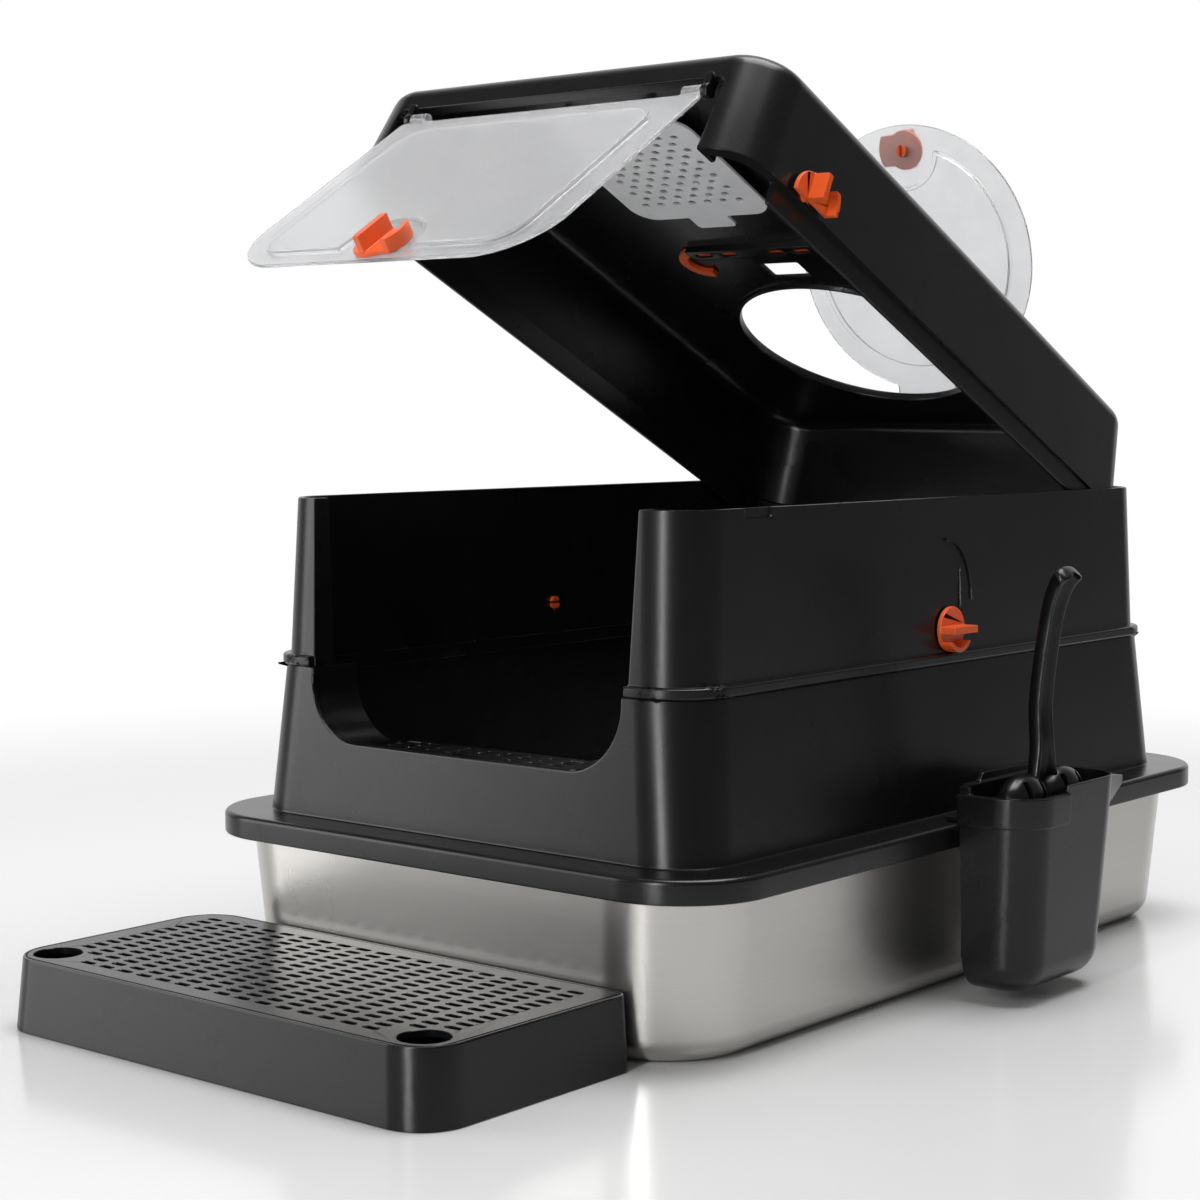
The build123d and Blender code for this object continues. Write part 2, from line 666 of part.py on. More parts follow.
# Quarter-turn latches, drawn with the shaft on +Z, the tongue on +X and the grip along Y
def latch(grip, standoff, tongue, flat):
    """Disc with a grip bar, a split snap shaft and, where asked, a tongue or a cut-off side."""
    disc = Pos(0, 0, standoff) * extrude(Circle(LATCH_R), amount=LATCH_DISC)
    face = standoff + LATCH_DISC
    bar = block(-LATCH_BAR / 2, LATCH_BAR / 2, -LATCH_R + 0.6, LATCH_R - 0.6, face - 1, face + LATCH_BAR_HEIGHT)
    reach = LATCH_REACH if tongue else LATCH_R
    ring = Circle(reach) - Circle(reach - LATCH_LIP)
    sector = Pos(reach, 0) * Rectangle(reach, 2 * LATCH_TONGUE_WIDTH)
    lip = Pos(0, 0, standoff) * extrude(ring & sector, amount=LATCH_DISC + LATCH_LIP_HEIGHT)
    body = disc + bar + lip
    if tongue:
        arm = Pos(reach / 2 - 1, 0) * Rectangle(reach - 2, 2 * LATCH_TONGUE_WIDTH)
        body += Pos(0, 0, standoff) * extrude(arm & Circle(reach), amount=LATCH_DISC)
    if flat:
        keep = Pos(0, LATCH_REACH - LATCH_FLAT, 0) * Rectangle(4 * LATCH_REACH, 2 * LATCH_REACH)
        body &= Pos(0, 0, standoff - 1) * extrude(keep, amount=40)
    low = -grip - SEAT_GAP
    shaft = extrude(Pos(0, 0, low) * Circle(LATCH_SHAFT_R), amount=standoff + 1 - low)
    head = extrude(Pos(0, 0, low - LATCH_HEAD) * Circle(LATCH_HEAD_R), amount=LATCH_HEAD)
    snap = shaft + head
    snap -= block(-LATCH_SPLIT / 2, LATCH_SPLIT / 2, -9, 9, low - LATCH_HEAD - 1, -grip / 2)
    return body + snap


HOOD_LATCH_STANDOFF = upper_half_x(HOOD_LATCH_Z - LATCH_REACH) - hood_half_x(HOOD_LATCH_Y, HOOD_LATCH_Z) + SEAT_GAP
HOOD_LATCH_GRIP = hood_half_x(HOOD_LATCH_Y, HOOD_LATCH_Z) - HOOD_REAR_X + SKIRT_INSET + WALL


def hood_latch():
    """Right-hand hood latch in its turned-back pose."""
    seat = (hood_half_x(HOOD_LATCH_Y, HOOD_LATCH_Z), HOOD_LATCH_Y, HOOD_LATCH_Z)
    place = Plane(origin=seat, x_dir=(0, 1, 0), z_dir=(1, 0, 0))
    return place * latch(HOOD_LATCH_GRIP, HOOD_LATCH_STANDOFF, True, True)


def tier_lock():
    """Right-hand tier lock with its lip pointing down."""
    seat = (upper_half_x(TIER_LOCK_Z), TIER_LOCK_Y, TIER_LOCK_Z)
    place = Plane(origin=seat, x_dir=(0, 0, -1), z_dir=(1, 0, 0))
    return place * latch(WALL, SEAT_GAP + 0.5, False, False)


# Front door, drawn hanging straight down
def door_outline():
    """Door outline in X and Z, rounder at the foot."""
    top = DOOR_AXIS_Z - DOOR_TOP_GAP
    bottom = DOOR_AXIS_Z - DOOR_DROP
    outline = Rectangle(2 * DOOR_HALF, top - bottom)
    low = outline.vertices().sort_by(Axis.Y)[:2]
    outline = fillet(low, DOOR_CORNER)
    high = outline.vertices().sort_by(Axis.Y)[-2:]
    outline = fillet(high, DOOR_TOP_CORNER)
    return Pos(0, (top + bottom) / 2) * outline


def door_panel(inset):
    """Outline of the door's raised middle, drawn in by an inset."""
    top = DOOR_AXIS_Z - DOOR_TOP_GAP - DOOR_BORDER_TOP - inset
    bottom = DOOR_AXIS_Z - DOOR_DROP + DOOR_BORDER_FOOT + inset
    outline = RectangleRounded(
        2 * (DOOR_HALF - DOOR_BORDER_SIDE - inset), top - bottom, DOOR_PANEL_CORNER - inset
    )
    return Pos(0, (top + bottom) / 2) * outline


def front_door():
    """Panel with a raised middle, a round notch for its latch and two pinned knuckles."""
    back = DOOR_AXIS_Y + DOOR_THICK / 2
    face = DOOR_AXIS_Y - DOOR_THICK / 2
    latch_z = DOOR_AXIS_Z - DOOR_LATCH_DROP
    notch = Pos(0, latch_z) * Circle(DOOR_NOTCH_R)
    panel = along_y(door_outline(), face, back)
    panel += along_y(door_panel(0) - notch, face - DOOR_RELIEF, face)
    notch_in = Pos(0, latch_z) * Circle(DOOR_NOTCH_R + DOOR_THICK)
    panel -= along_y(door_panel(DOOR_THICK) - notch_in, back - DOOR_RELIEF, back)
    panel -= Pos(0, DOOR_AXIS_Y, latch_z) * Rot(90, 0, 0) * Cylinder(LATCH_SHAFT_R + PIN_FIT, 4 * DOOR_THICK)
    knuckle = rod_x(KNUCKLE_R, KNUCKLE_IN, KNUCKLE_OUT, DOOR_AXIS_Y, DOOR_AXIS_Z)
    web_z = DOOR_AXIS_Z - DOOR_TOP_GAP - 2
    knuckle += block(KNUCKLE_IN, KNUCKLE_OUT, face, back, web_z, DOOR_AXIS_Z)
    knuckle += rod_x(DOOR_PIN_R, KNUCKLE_OUT - 1, KNUCKLE_OUT + EAR_THICK - 1, DOOR_AXIS_Y, DOOR_AXIS_Z)
    return panel + both_sides(knuckle)


def door_latch():
    """Door latch with its tongue turned sideways."""
    seat = (0, DOOR_AXIS_Y - DOOR_THICK / 2, DOOR_AXIS_Z - DOOR_LATCH_DROP)
    place = Plane(origin=seat, x_dir=(1, 0, 0), z_dir=(0, -1, 0))
    return place * latch(DOOR_THICK, SEAT_GAP, True, False)


# Round lid, drawn shut
LID_BOTTOM = HOOD_TOP_Z + SEAT_GAP
LID_TOP = LID_BOTTOM + LID_THICK


def disc_at(radius, z0, z1):
    """Round plate over the hood's hole between two heights."""
    return extrude(Pos(0, HOLE_Y, z0) * Circle(radius), amount=z1 - z0)


def round_lid():
    """Dished lid with a round notch for its latch and a barrel hinge."""
    latch_y = HOLE_Y - LID_LATCH_R
    plate = disc_at(LID_R, LID_BOTTOM, LID_TOP)
    notch = Pos(0, latch_y) * Circle(LID_NOTCH_R)
    dish = Pos(0, HOLE_Y) * Circle(LID_DISH_R) - notch
    plate += extrude(Pos(0, 0, LID_BOTTOM - LID_DISH) * dish, amount=LID_DISH)
    wide = Pos(0, latch_y) * Circle(LID_NOTCH_R + LID_THICK)
    hollow = Pos(0, HOLE_Y) * Circle(LID_DISH_R - LID_THICK) - wide
    plate -= extrude(Pos(0, 0, LID_TOP - LID_DISH) * hollow, amount=LID_DISH)
    plate -= Pos(0, latch_y, LID_TOP) * Cylinder(LATCH_SHAFT_R + PIN_FIT, 6 * LID_THICK)
    barrel = rod_x(LID_BARREL_R, -LID_BARREL_HALF, LID_BARREL_HALF, LID_AXIS_Y, LID_AXIS_Z)
    web = block(-LID_BARREL_HALF, LID_BARREL_HALF, HOLE_Y + LID_R - 6, LID_AXIS_Y, LID_BOTTOM, LID_TOP)
    pin_end = LID_BARREL_HALF + LID_LUG - 2
    pins = rod_x(LID_PIN_R, -pin_end, pin_end, LID_AXIS_Y, LID_AXIS_Z)
    return plate + barrel + web + pins


def lid_latch():
    """Lid latch with its tongue turned sideways."""
    seat = (0, HOLE_Y - LID_LATCH_R, LID_TOP)
    place = Plane(origin=seat, x_dir=(-1, 0, 0), z_dir=(0, 0, 1))
    return place * latch(LID_THICK, SEAT_GAP, True, False)


# Filter cover and pad
def filter_cover():
    """Perforated cover with a pull tab at the rear and pins at the front."""
    z0 = CEILING - FILTER_DROP
    front = COVER_AXIS_Y + COVER_HINGE_ROOM
    plate = rounded(FILTER_HALF, front, FILTER_REAR, FILTER_CORNER, z0)
    inner_x = 2 * FILTER_HALF - FILTER_CORNER
    inner_y = FILTER_REAR - front - FILTER_CORNER
    count_x = int(inner_x / FILTER_PITCH_X)
    count_y = int(inner_y / FILTER_PITCH_Y / 2)
    centre = Pos(0, (front + FILTER_REAR) / 2, z0)
    grid = slot_grid(FILTER_HOLE_X, FILTER_HOLE_Y, FILTER_PITCH_X, 2 * FILTER_PITCH_Y, count_x, count_y)
    between = slot_grid(FILTER_HOLE_X, FILTER_HOLE_Y, FILTER_PITCH_X, 2 * FILTER_PITCH_Y, count_x - 1, count_y - 1)
    plate -= centre * (grid + between)
    tab = rounded(FILTER_TAB, FILTER_REAR - 4, FILTER_REAR + FILTER_TAB_OUT, 3.5, z0)
    cover = extrude(plate + tab, amount=FILTER_COVER)
    arm_x0 = COVER_EAR_X - 6
    arm = block(arm_x0, COVER_EAR_X, COVER_AXIS_Y, front + 2, z0, z0 + FILTER_COVER)
    arm += rod_x(FILTER_PIN_R, arm_x0, COVER_EAR_X + 2.5, COVER_AXIS_Y, COVER_AXIS_Z)
    return cover + both_sides(arm)


def filter_pad():
    """Filter pad lying on the cover inside the low wall."""
    inset = FILTER_FRAME_INSET + FILTER_FRAME_WALL + FILTER_PAD_GAP
    y0 = FILTER_FRONT + inset + 3
    outline = rounded(FILTER_HALF - inset, y0, FILTER_REAR - inset, FILTER_CORNER - inset, COVER_TOP)
    return extrude(outline, amount=CEILING - COVER_TOP - 2 * SEAT_GAP)


def vent_insert():
    """Flat bar in the ceiling channel with both ends curved back."""
    end_y = INSERT_Y + 2 * INSERT_END_R
    bar = Pos(0, INSERT_Y) * Rectangle(2 * INSERT_HALF, INSERT_WIDTH)
    ring = Circle(INSERT_END_R + INSERT_WIDTH / 2) - Circle(INSERT_END_R - INSERT_WIDTH / 2)
    half_ring = ring & Pos(INSERT_END_R, 0) * Rectangle(2 * INSERT_END_R, 4 * INSERT_END_R)
    end = Pos(INSERT_HALF, (INSERT_Y + end_y) / 2) * half_ring
    outline = bar + end + mirror(end, about=Plane.YZ)
    return extrude(Pos(0, 0, INSERT_BOTTOM) * outline, amount=INSERT_THICK)


# Scoop holder and scoop
HOLDER_BACK = FLANGE_HALF_X + HOLDER_GAP + WALL


def pocket_form(inset, z0, z1, foot_r):
    """Solid with the holder pocket's outside, drawn in by an inset."""
    rise = HOLDER_RIM_Z - HOLDER_FLOOR_Z
    top = HOLDER_RIM_Z
    faces = [
        leaning_face(HOLDER_BACK, 0, top, -1, 0, rise, 0, inset),
        leaning_face(HOLDER_BACK + HOLDER_OUT, 0, top, 1, 0, rise, -HOLDER_DRAFT, inset),
        leaning_face(0, HOLDER_LEFT, top, 0, -1, rise, -HOLDER_DRAFT, inset),
        leaning_face(0, HOLDER_RIGHT, top, 0, 1, rise, -HOLDER_DRAFT, inset),
    ]
    solid = planed(faces, z0, z1)
    solid = fillet(upright_edges(solid).sort_by(Axis.X)[-2:], HOLDER_CORNER - inset)
    if foot_r > 0:
        rim = lower_edges(solid).sort_by(Axis.X)[1:]
        solid = fillet(rim, foot_r)
    return solid


def holder_back():
    """Back plate with a wing and two tabs that grip the flange's edge."""
    left = HOLDER_LEFT + BACK_INSET
    right = HOLDER_RIGHT - HOLDER_DRAFT
    points = [
        (left, HOLDER_FLOOR_Z + HOLDER_FOOT_R),
        (left + HOLDER_FOOT_R, HOLDER_FLOOR_Z),
        (right - HOLDER_FOOT_R, HOLDER_FLOOR_Z),
        (right, HOLDER_FLOOR_Z + HOLDER_FOOT_R),
        (right, FLANGE_TOP - FLANGE_SKIRT - 2 * WALL),
        (WING_TIP_Y, WING_TIP_Z - 2 * WALL),
        (WING_TIP_Y, WING_TIP_Z),
        (WING_ROOT_Y, HOLDER_RIM_Z),
        (WING_ROOT_Y - 10, BACK_TOP_Z),
        (left + 20, BACK_TOP_Z),
        (left + 16, HOLDER_RIM_Z),
        (left, HOLDER_RIM_Z),
    ]
    plate = along_x(Polygon(*points, align=None), HOLDER_BACK - WALL, HOLDER_BACK)
    x1 = HOLDER_BACK - WALL / 2
    upper = block(
        FLANGE_HALF_X - HOLDER_TAB_REACH,
        x1,
        -HOLDER_TAB_HALF,
        HOLDER_TAB_HALF,
        FLANGE_TOP + SEAT_GAP,
        FLANGE_TOP + SEAT_GAP + WALL,
    )
    low_z = FLANGE_TOP - FLANGE_SKIRT - SEAT_GAP
    lower = block(FLANGE_HALF_X - WALL, x1, -HOLDER_TAB_HALF, HOLDER_TAB_HALF, low_z - WALL, low_z)
    return plate + upper + lower


def holder_wing():
    """Slanting web from the pocket's right-hand end to the back plate's tip."""
    root = HOLDER_BACK + WING_ROOT_OUT
    plan = Polygon(
        (root, WING_ROOT_Y),
        (HOLDER_BACK + 1, WING_TIP_Y),
        (HOLDER_BACK - WALL, WING_TIP_Y),
        (HOLDER_BACK - WALL, WING_TIP_Y - 4),
        (root - HOLDER_WALL, WING_ROOT_Y),
        align=None,
    )
    side = Polygon(
        (WING_ROOT_Y, HOLDER_RIM_Z),
        (WING_ROOT_Y, HOLDER_RIM_Z - WING_DROP),
        (HOLDER_RIGHT + 8, HOLDER_RIM_Z - WING_DROP),
        (WING_TIP_Y, WING_TIP_Z - 2 * WALL),
        (WING_TIP_Y, WING_TIP_Z),
        align=None,
    )
    return extrude(plan, amount=2 * HOLDER_RIM_Z) & along_x(side, HOLDER_BACK - WALL, root + 1)


def scoop_holder():
    """Pocket with a raised front band, on a back plate that hooks over the flange."""
    pocket = pocket_form(0, HOLDER_FLOOR_Z, HOLDER_RIM_Z, HOLDER_FOOT_R)
    band = pocket_form(-HOLDER_BAND, HOLDER_LIP_Z - HOLDER_BAND_DROP, HOLDER_LIP_Z, 0)
    far = HOLDER_BACK + 2 * HOLDER_OUT
    band &= block(HOLDER_BACK, far, HOLDER_LEFT - 10, HOLDER_BAND_END, 0, 2 * HOLDER_RIM_Z)
    body = pocket + band
    body -= block(HOLDER_BACK + 8, far, HOLDER_LEFT - 10, HOLDER_BAND_END, HOLDER_LIP_Z, HOLDER_RIM_Z + 1)
    body += holder_back() + holder_wing()
    cavity_z = HOLDER_FLOOR_Z + HOLDER_WALL
    return body - pocket_form(HOLDER_WALL, cavity_z, HOLDER_RIM_Z, HOLDER_FOOT_R - HOLDER_WALL)


def scoop_seat():
    """Height at which the scoop's open end meets the pocket's rounded floor."""
    radius = HOLDER_FOOT_R - HOLDER_WALL
    lean = math.atan2(HOLDER_DRAFT, HOLDER_RIM_Z - HOLDER_FLOOR_Z)
    centre = radius * (1 - math.sin(lean)) / math.cos(lean)
    rise = math.sqrt((radius - SEAT_GAP) ** 2 - (centre - SCOOP_SIDE_GAP) ** 2)
    return HOLDER_FLOOR_Z + HOLDER_WALL + radius - rise


def scoop_outline(inset, z):
    """Outline of the scoop's head drawn in by an inset, at a height."""
    side = HOLDER_DRAFT + HOLDER_WALL + SCOOP_SIDE_GAP + inset
    x0 = HOLDER_BACK + SCOOP_BACK_GAP + inset
    x1 = HOLDER_BACK + HOLDER_OUT - side
    y0 = HOLDER_LEFT + side
    y1 = HOLDER_RIGHT - side
    outline = Polygon((x0, y0), (x1, y0), (x1, y1), (x0, y1), align=None)
    outline = fillet(outline.vertices().sort_by(Axis.X)[-2:], SCOOP_CORNER - inset)
    return Pos(0, 0, z) * outline


def scoop():
    """Slotted scoop head standing in the pocket, with a channel-shaped handle."""
    foot = scoop_seat()
    head = extrude(scoop_outline(0, foot), amount=SCOOP_TOP_Z - foot)
    head = fillet(upper_edges(head), SCOOP_TOP_R)
    head -= extrude(scoop_outline(SCOOP_WALL, foot - 1), amount=SCOOP_TOP_Z - SCOOP_TOP_R - foot + 1)
    x_mid = HOLDER_BACK + HOLDER_OUT / 2
    y_mid = (HOLDER_LEFT + HOLDER_RIGHT) / 2
    open_x = HOLDER_BACK + SCOOP_BACK_GAP + SCOOP_WALL
    head -= block(HOLDER_BACK, open_x, HOLDER_LEFT, HOLDER_RIGHT, 0, SCOOP_TOP_Z - 2 * SCOOP_TOP_R)
    pitch = (HOLDER_RIGHT - HOLDER_LEFT) / (SCOOP_SLOTS + 2)
    slot = Rot(0, 0, 90) * SlotOverall(SCOOP_SLOT_LENGTH, SCOOP_SLOT_WIDTH)
    slot_z = SCOOP_TOP_Z - SCOOP_SLOT_TOP - SCOOP_SLOT_LENGTH / 2
    for place in GridLocations(pitch, 1, SCOOP_SLOTS, 1):
        window = Pos(y_mid, slot_z) * place * slot
        head -= along_x(window, x_mid, HOLDER_BACK + HOLDER_OUT)
    path = Spline(
        (x_mid - 6, y_mid, SCOOP_TOP_Z - SCOOP_WALL),
        (x_mid - 6, y_mid, SCOOP_TOP_Z + 16),
        (x_mid - 7, y_mid, SCOOP_TOP_Z + 44),
        (x_mid - 1, y_mid, SCOOP_TOP_Z + 91),
        (x_mid + 6, y_mid, SCOOP_TOP_Z + 114),
        (x_mid + 15, y_mid, SCOOP_TOP_Z + 126),
    )
    profile = Rectangle(HANDLE_DEPTH, HANDLE_WIDTH)
    channel = profile - Pos(HANDLE_WALL, 0) * Rectangle(HANDLE_DEPTH, HANDLE_WIDTH - 2 * HANDLE_WALL)
    start = Plane(origin=path @ 0, x_dir=(1, 0, 0), z_dir=path % 0)
    handle = sweep(start * channel, path=path)
    end = Plane(origin=path @ 1, x_dir=(path % 1).cross(Vector(0, 1, 0)), z_dir=path % 1)
    handle += extrude(end * profile, amount=HANDLE_WALL)
    return head + handle


# Step
STEP_REAR = -(PAN_HALF_Y - (PAN_HEIGHT - STEP_HEIGHT) * math.tan(math.radians(PAN_DRAFT))) - STEP_GAP
STEP_X = (STEP_LEFT + STEP_RIGHT) / 2
STEP_HALF = (STEP_RIGHT - STEP_LEFT) / 2


def step_outline(inset, rear_inset, z):
    """Step outline drawn in by an inset, squarer at the right-hand rear corner."""
    x0 = STEP_LEFT + inset
    x1 = STEP_RIGHT - inset
    y0 = STEP_FRONT + inset
    y1 = STEP_REAR - rear_inset
    outline = Polygon((x0, y0), (x1, y0), (x1, y1), (x0, y1), align=None)
    order = outline.vertices().sort_by(lambda v: v.X + v.Y)
    outline = fillet(order[:3], STEP_CORNER - inset)
    square = outline.vertices().sort_by(lambda v: v.X + v.Y)[-1]
    outline = fillet(square, max(STEP_SQUARE_CORNER - inset, 1))
    return Pos(0, 0, z) * outline


def step_tray():
    """Low box, open at the bottom, with a ledge that carries the grate."""
    rise = STEP_HEIGHT
    faces = [
        leaning_face(STEP_LEFT, 0, 0, -1, 0, rise, STEP_DRAFT, 0),
        leaning_face(STEP_RIGHT, 0, 0, 1, 0, rise, STEP_DRAFT, 0),
        leaning_face(0, STEP_FRONT, 0, 0, -1, rise, STEP_DRAFT, 0),
        leaning_face(0, STEP_REAR, 0, 0, 1, rise, 0, 0),
    ]
    outer = planed(faces, 0, STEP_HEIGHT)
    outer = fillet(upright_edges(outer).sort_by(lambda e: e.center().X + e.center().Y)[:3], STEP_CORNER)
    square = upright_edges(outer).sort_by(lambda e: e.center().X + e.center().Y)[-1]
    outer = fillet(square, STEP_SQUARE_CORNER)
    ledge_z = STEP_HEIGHT - GRATE_THICK - SEAT_GAP
    recess = extrude(step_outline(STEP_DRAFT + STEP_RIM, STEP_RIM, ledge_z), amount=GRATE_THICK + 2)
    inside = STEP_DRAFT + STEP_RIM + STEP_LEDGE
    well = extrude(step_outline(inside, STEP_RIM + STEP_LEDGE, WALL), amount=STEP_HEIGHT)
    under = step_outline(STEP_DRAFT + STEP_RIM, STEP_RIM, WALL)
    hollow = extrude(under, amount=ledge_z - 2 * WALL)
    return outer - recess - well - hollow


def step_grate():
    """Slotted top plate with two finger holes near its front corners."""
    inset = STEP_DRAFT + STEP_RIM + GRATE_GAP
    z0 = STEP_HEIGHT - GRATE_THICK
    plate = step_outline(inset, STEP_RIM + GRATE_GAP, z0)
    width = 2 * (STEP_HALF - inset - GRATE_MARGIN)
    depth = STEP_REAR - STEP_FRONT - 2 * (inset + GRATE_MARGIN)
    middle_y = (STEP_FRONT + STEP_REAR) / 2 + STEP_DRAFT / 2
    count_x = int(width / GRATE_PITCH_X)
    count_y = int(depth / GRATE_PITCH_Y)
    hole_y = STEP_FRONT + FINGER_HOLE_INSET
    holes = [(STEP_LEFT + FINGER_HOLE_INSET, hole_y), (STEP_RIGHT - FINGER_HOLE_INSET, hole_y)]
    slots = []
    for place in GridLocations(GRATE_PITCH_X, GRATE_PITCH_Y, count_x, count_y):
        x = STEP_X + place.position.X
        y = middle_y + place.position.Y
        room = min(math.hypot(x - hx, y - hy) for hx, hy in holes)
        if room > FINGER_HOLE_R + GRATE_SLOT / 2 + 2:
            slots.append(Pos(x, y, z0) * SlotOverall(GRATE_SLOT, GRATE_SLOT_WIDTH))
    plate -= Sketch() + slots
    for hx, hy in holes:
        plate -= Pos(hx, hy, z0) * Circle(FINGER_HOLE_R)
    return extrude(plate, amount=GRATE_THICK)


# Poses and export
DOOR_AXIS = Axis((0, DOOR_AXIS_Y, DOOR_AXIS_Z), (1, 0, 0))
LID_AXIS = Axis((0, LID_AXIS_Y, LID_AXIS_Z), (1, 0, 0))
HOOD_AXIS = Axis((0, HINGE_Y, HINGE_Z), (1, 0, 0))


def swing(shape, axis, degrees):
    """Shape turned about an axis; negative turns lift the front."""
    return shape.rotate(axis, degrees)


def on_hood(shape):
    """Shape carried by the hood, moved to the open pose."""
    return swing(shape, HOOD_AXIS, -HOOD_OPEN_DEG)


def on_door(shape):
    """Shape carried by the raised door on the open hood."""
    return on_hood(swing(shape, DOOR_AXIS, -DOOR_OPEN_DEG))


def on_lid(shape):
    """Shape carried by the raised lid on the open hood."""
    return on_hood(swing(shape, LID_AXIS, -LID_OPEN_DEG))


def main():
    """Build every piece and write one file each."""
    right_hood_latch = hood_latch()
    right_tier_lock = tier_lock()
    pieces = {
        "steel_pan": steel_pan(),
        "lower_frame": lower_frame(),
        "entry_grate": entry_grate(),
        "upper_frame": upper_frame(),
        "tier_lock_right": right_tier_lock,
        "tier_lock_left": mirror(right_tier_lock, about=Plane.YZ),
        "hood": on_hood(hood()),
        "hood_latch_right": on_hood(right_hood_latch),
        "hood_latch_left": on_hood(mirror(right_hood_latch, about=Plane.YZ)),
        "front_door": on_door(front_door()),
        "door_latch": on_door(door_latch()),
        "round_lid": on_lid(round_lid()),
        "lid_latch": on_lid(lid_latch()),
        "filter_cover": on_hood(filter_cover()),
        "filter_pad": on_hood(filter_pad()),
        "vent_insert": on_hood(vent_insert()),
        "scoop_holder": scoop_holder(),
        "scoop": scoop(),
        "step_tray": step_tray(),
        "step_grate": step_grate(),
    }
    os.makedirs("parts", exist_ok=True)
    for name, shape in pieces.items():
        export_step(shape, f"parts/{name}.step")


if __name__ == "__main__":
    main()
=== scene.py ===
import json
import logging
import math
from contextlib import contextmanager
from dataclasses import dataclass
from enum import Enum
from typing import Callable, Iterator

import bpy
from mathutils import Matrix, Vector
from mathutils.geometry import intersect_point_line

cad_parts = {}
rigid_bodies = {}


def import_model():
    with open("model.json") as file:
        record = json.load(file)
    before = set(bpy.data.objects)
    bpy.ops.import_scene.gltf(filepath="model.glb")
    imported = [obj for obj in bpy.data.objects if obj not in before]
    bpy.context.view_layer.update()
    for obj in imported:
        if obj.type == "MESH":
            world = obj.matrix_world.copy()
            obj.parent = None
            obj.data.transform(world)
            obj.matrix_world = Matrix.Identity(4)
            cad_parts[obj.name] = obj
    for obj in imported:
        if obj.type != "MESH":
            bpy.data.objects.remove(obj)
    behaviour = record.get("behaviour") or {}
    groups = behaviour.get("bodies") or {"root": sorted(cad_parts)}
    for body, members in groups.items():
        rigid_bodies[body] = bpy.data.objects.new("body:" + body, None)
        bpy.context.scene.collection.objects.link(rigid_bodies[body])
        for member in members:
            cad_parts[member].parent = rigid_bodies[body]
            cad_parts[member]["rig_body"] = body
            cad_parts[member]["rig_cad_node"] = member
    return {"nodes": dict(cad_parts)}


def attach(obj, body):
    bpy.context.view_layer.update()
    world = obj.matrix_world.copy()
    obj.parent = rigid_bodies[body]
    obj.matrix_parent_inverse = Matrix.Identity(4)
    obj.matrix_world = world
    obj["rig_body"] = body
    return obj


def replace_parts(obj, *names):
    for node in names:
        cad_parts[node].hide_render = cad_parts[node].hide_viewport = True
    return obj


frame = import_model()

LOG = logging.getLogger("litter_box")
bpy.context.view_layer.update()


class Slot(Enum):
    """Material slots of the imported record."""

    STEEL = "steel"
    BLACK = "black_plastic"
    FROSTED = "frosted_plastic"
    ORANGE = "orange_plastic"
    WHITE = "white_plastic"
    FIBRE = "filter_fibre"


class Socket(Enum):
    """Kinds of socket that the shared shader groups use."""

    VALUE = "NodeSocketFloat"
    DIRECTION = "NodeSocketVector"


def new_group(name: str, inputs: dict[str, Socket], outputs: dict[str, Socket]) -> bpy.types.NodeTree:
    """Start a shader node group with named sockets.

    Args:
        name: Name of the group.
        inputs: Input sockets and their kinds.
        outputs: Output sockets and their kinds.

    Returns:
        The empty group.
    """
    tree = bpy.data.node_groups.new(name, "ShaderNodeTree")
    for label, kind in inputs.items():
        tree.interface.new_socket(label, in_out="INPUT", socket_type=kind.value)
    for label, kind in outputs.items():
        tree.interface.new_socket(label, in_out="OUTPUT", socket_type=kind.value)
    tree.nodes.new("NodeGroupInput")
    tree.nodes.new("NodeGroupOutput")
    return tree


def ends(tree: bpy.types.NodeTree) -> tuple[bpy.types.Node, bpy.types.Node]:
    """The input and output nodes of a group, in that order."""
    return tree.nodes["Group Input"], tree.nodes["Group Output"]


def noise_node(tree: bpy.types.NodeTree, scale: float, detail: float) -> bpy.types.Node:
    """Add a noise texture to a tree.

    Args:
        tree: Tree that gets the node.
        scale: Scale of the noise, in waves per metre.
        detail: Number of finer layers.

    Returns:
        The new node.
    """
    node = tree.nodes.new("ShaderNodeTexNoise")
    node.inputs["Scale"].default_value = scale
    node.inputs["Detail"].default_value = detail
    return node


def remap(tree: bpy.types.NodeTree, source: bpy.types.NodeSocket, low: float, high: float) -> bpy.types.NodeSocket:
    """Spread a noise value over a range.

    Args:
        tree: Tree that gets the node.
        source: Value from 0 to 1.
        low: Result at 0.3.
        high: Result at 0.7.

    Returns:
        The spread value.
    """
    node = tree.nodes.new("ShaderNodeMapRange")
    node.inputs["From Min"].default_value = 0.3
    node.inputs["From Max"].default_value = 0.7
    node.inputs["To Min"].default_value = low
    node.inputs["To Max"].default_value = high
    tree.links.new(source, node.inputs["Value"])
    return node.outputs["Result"]


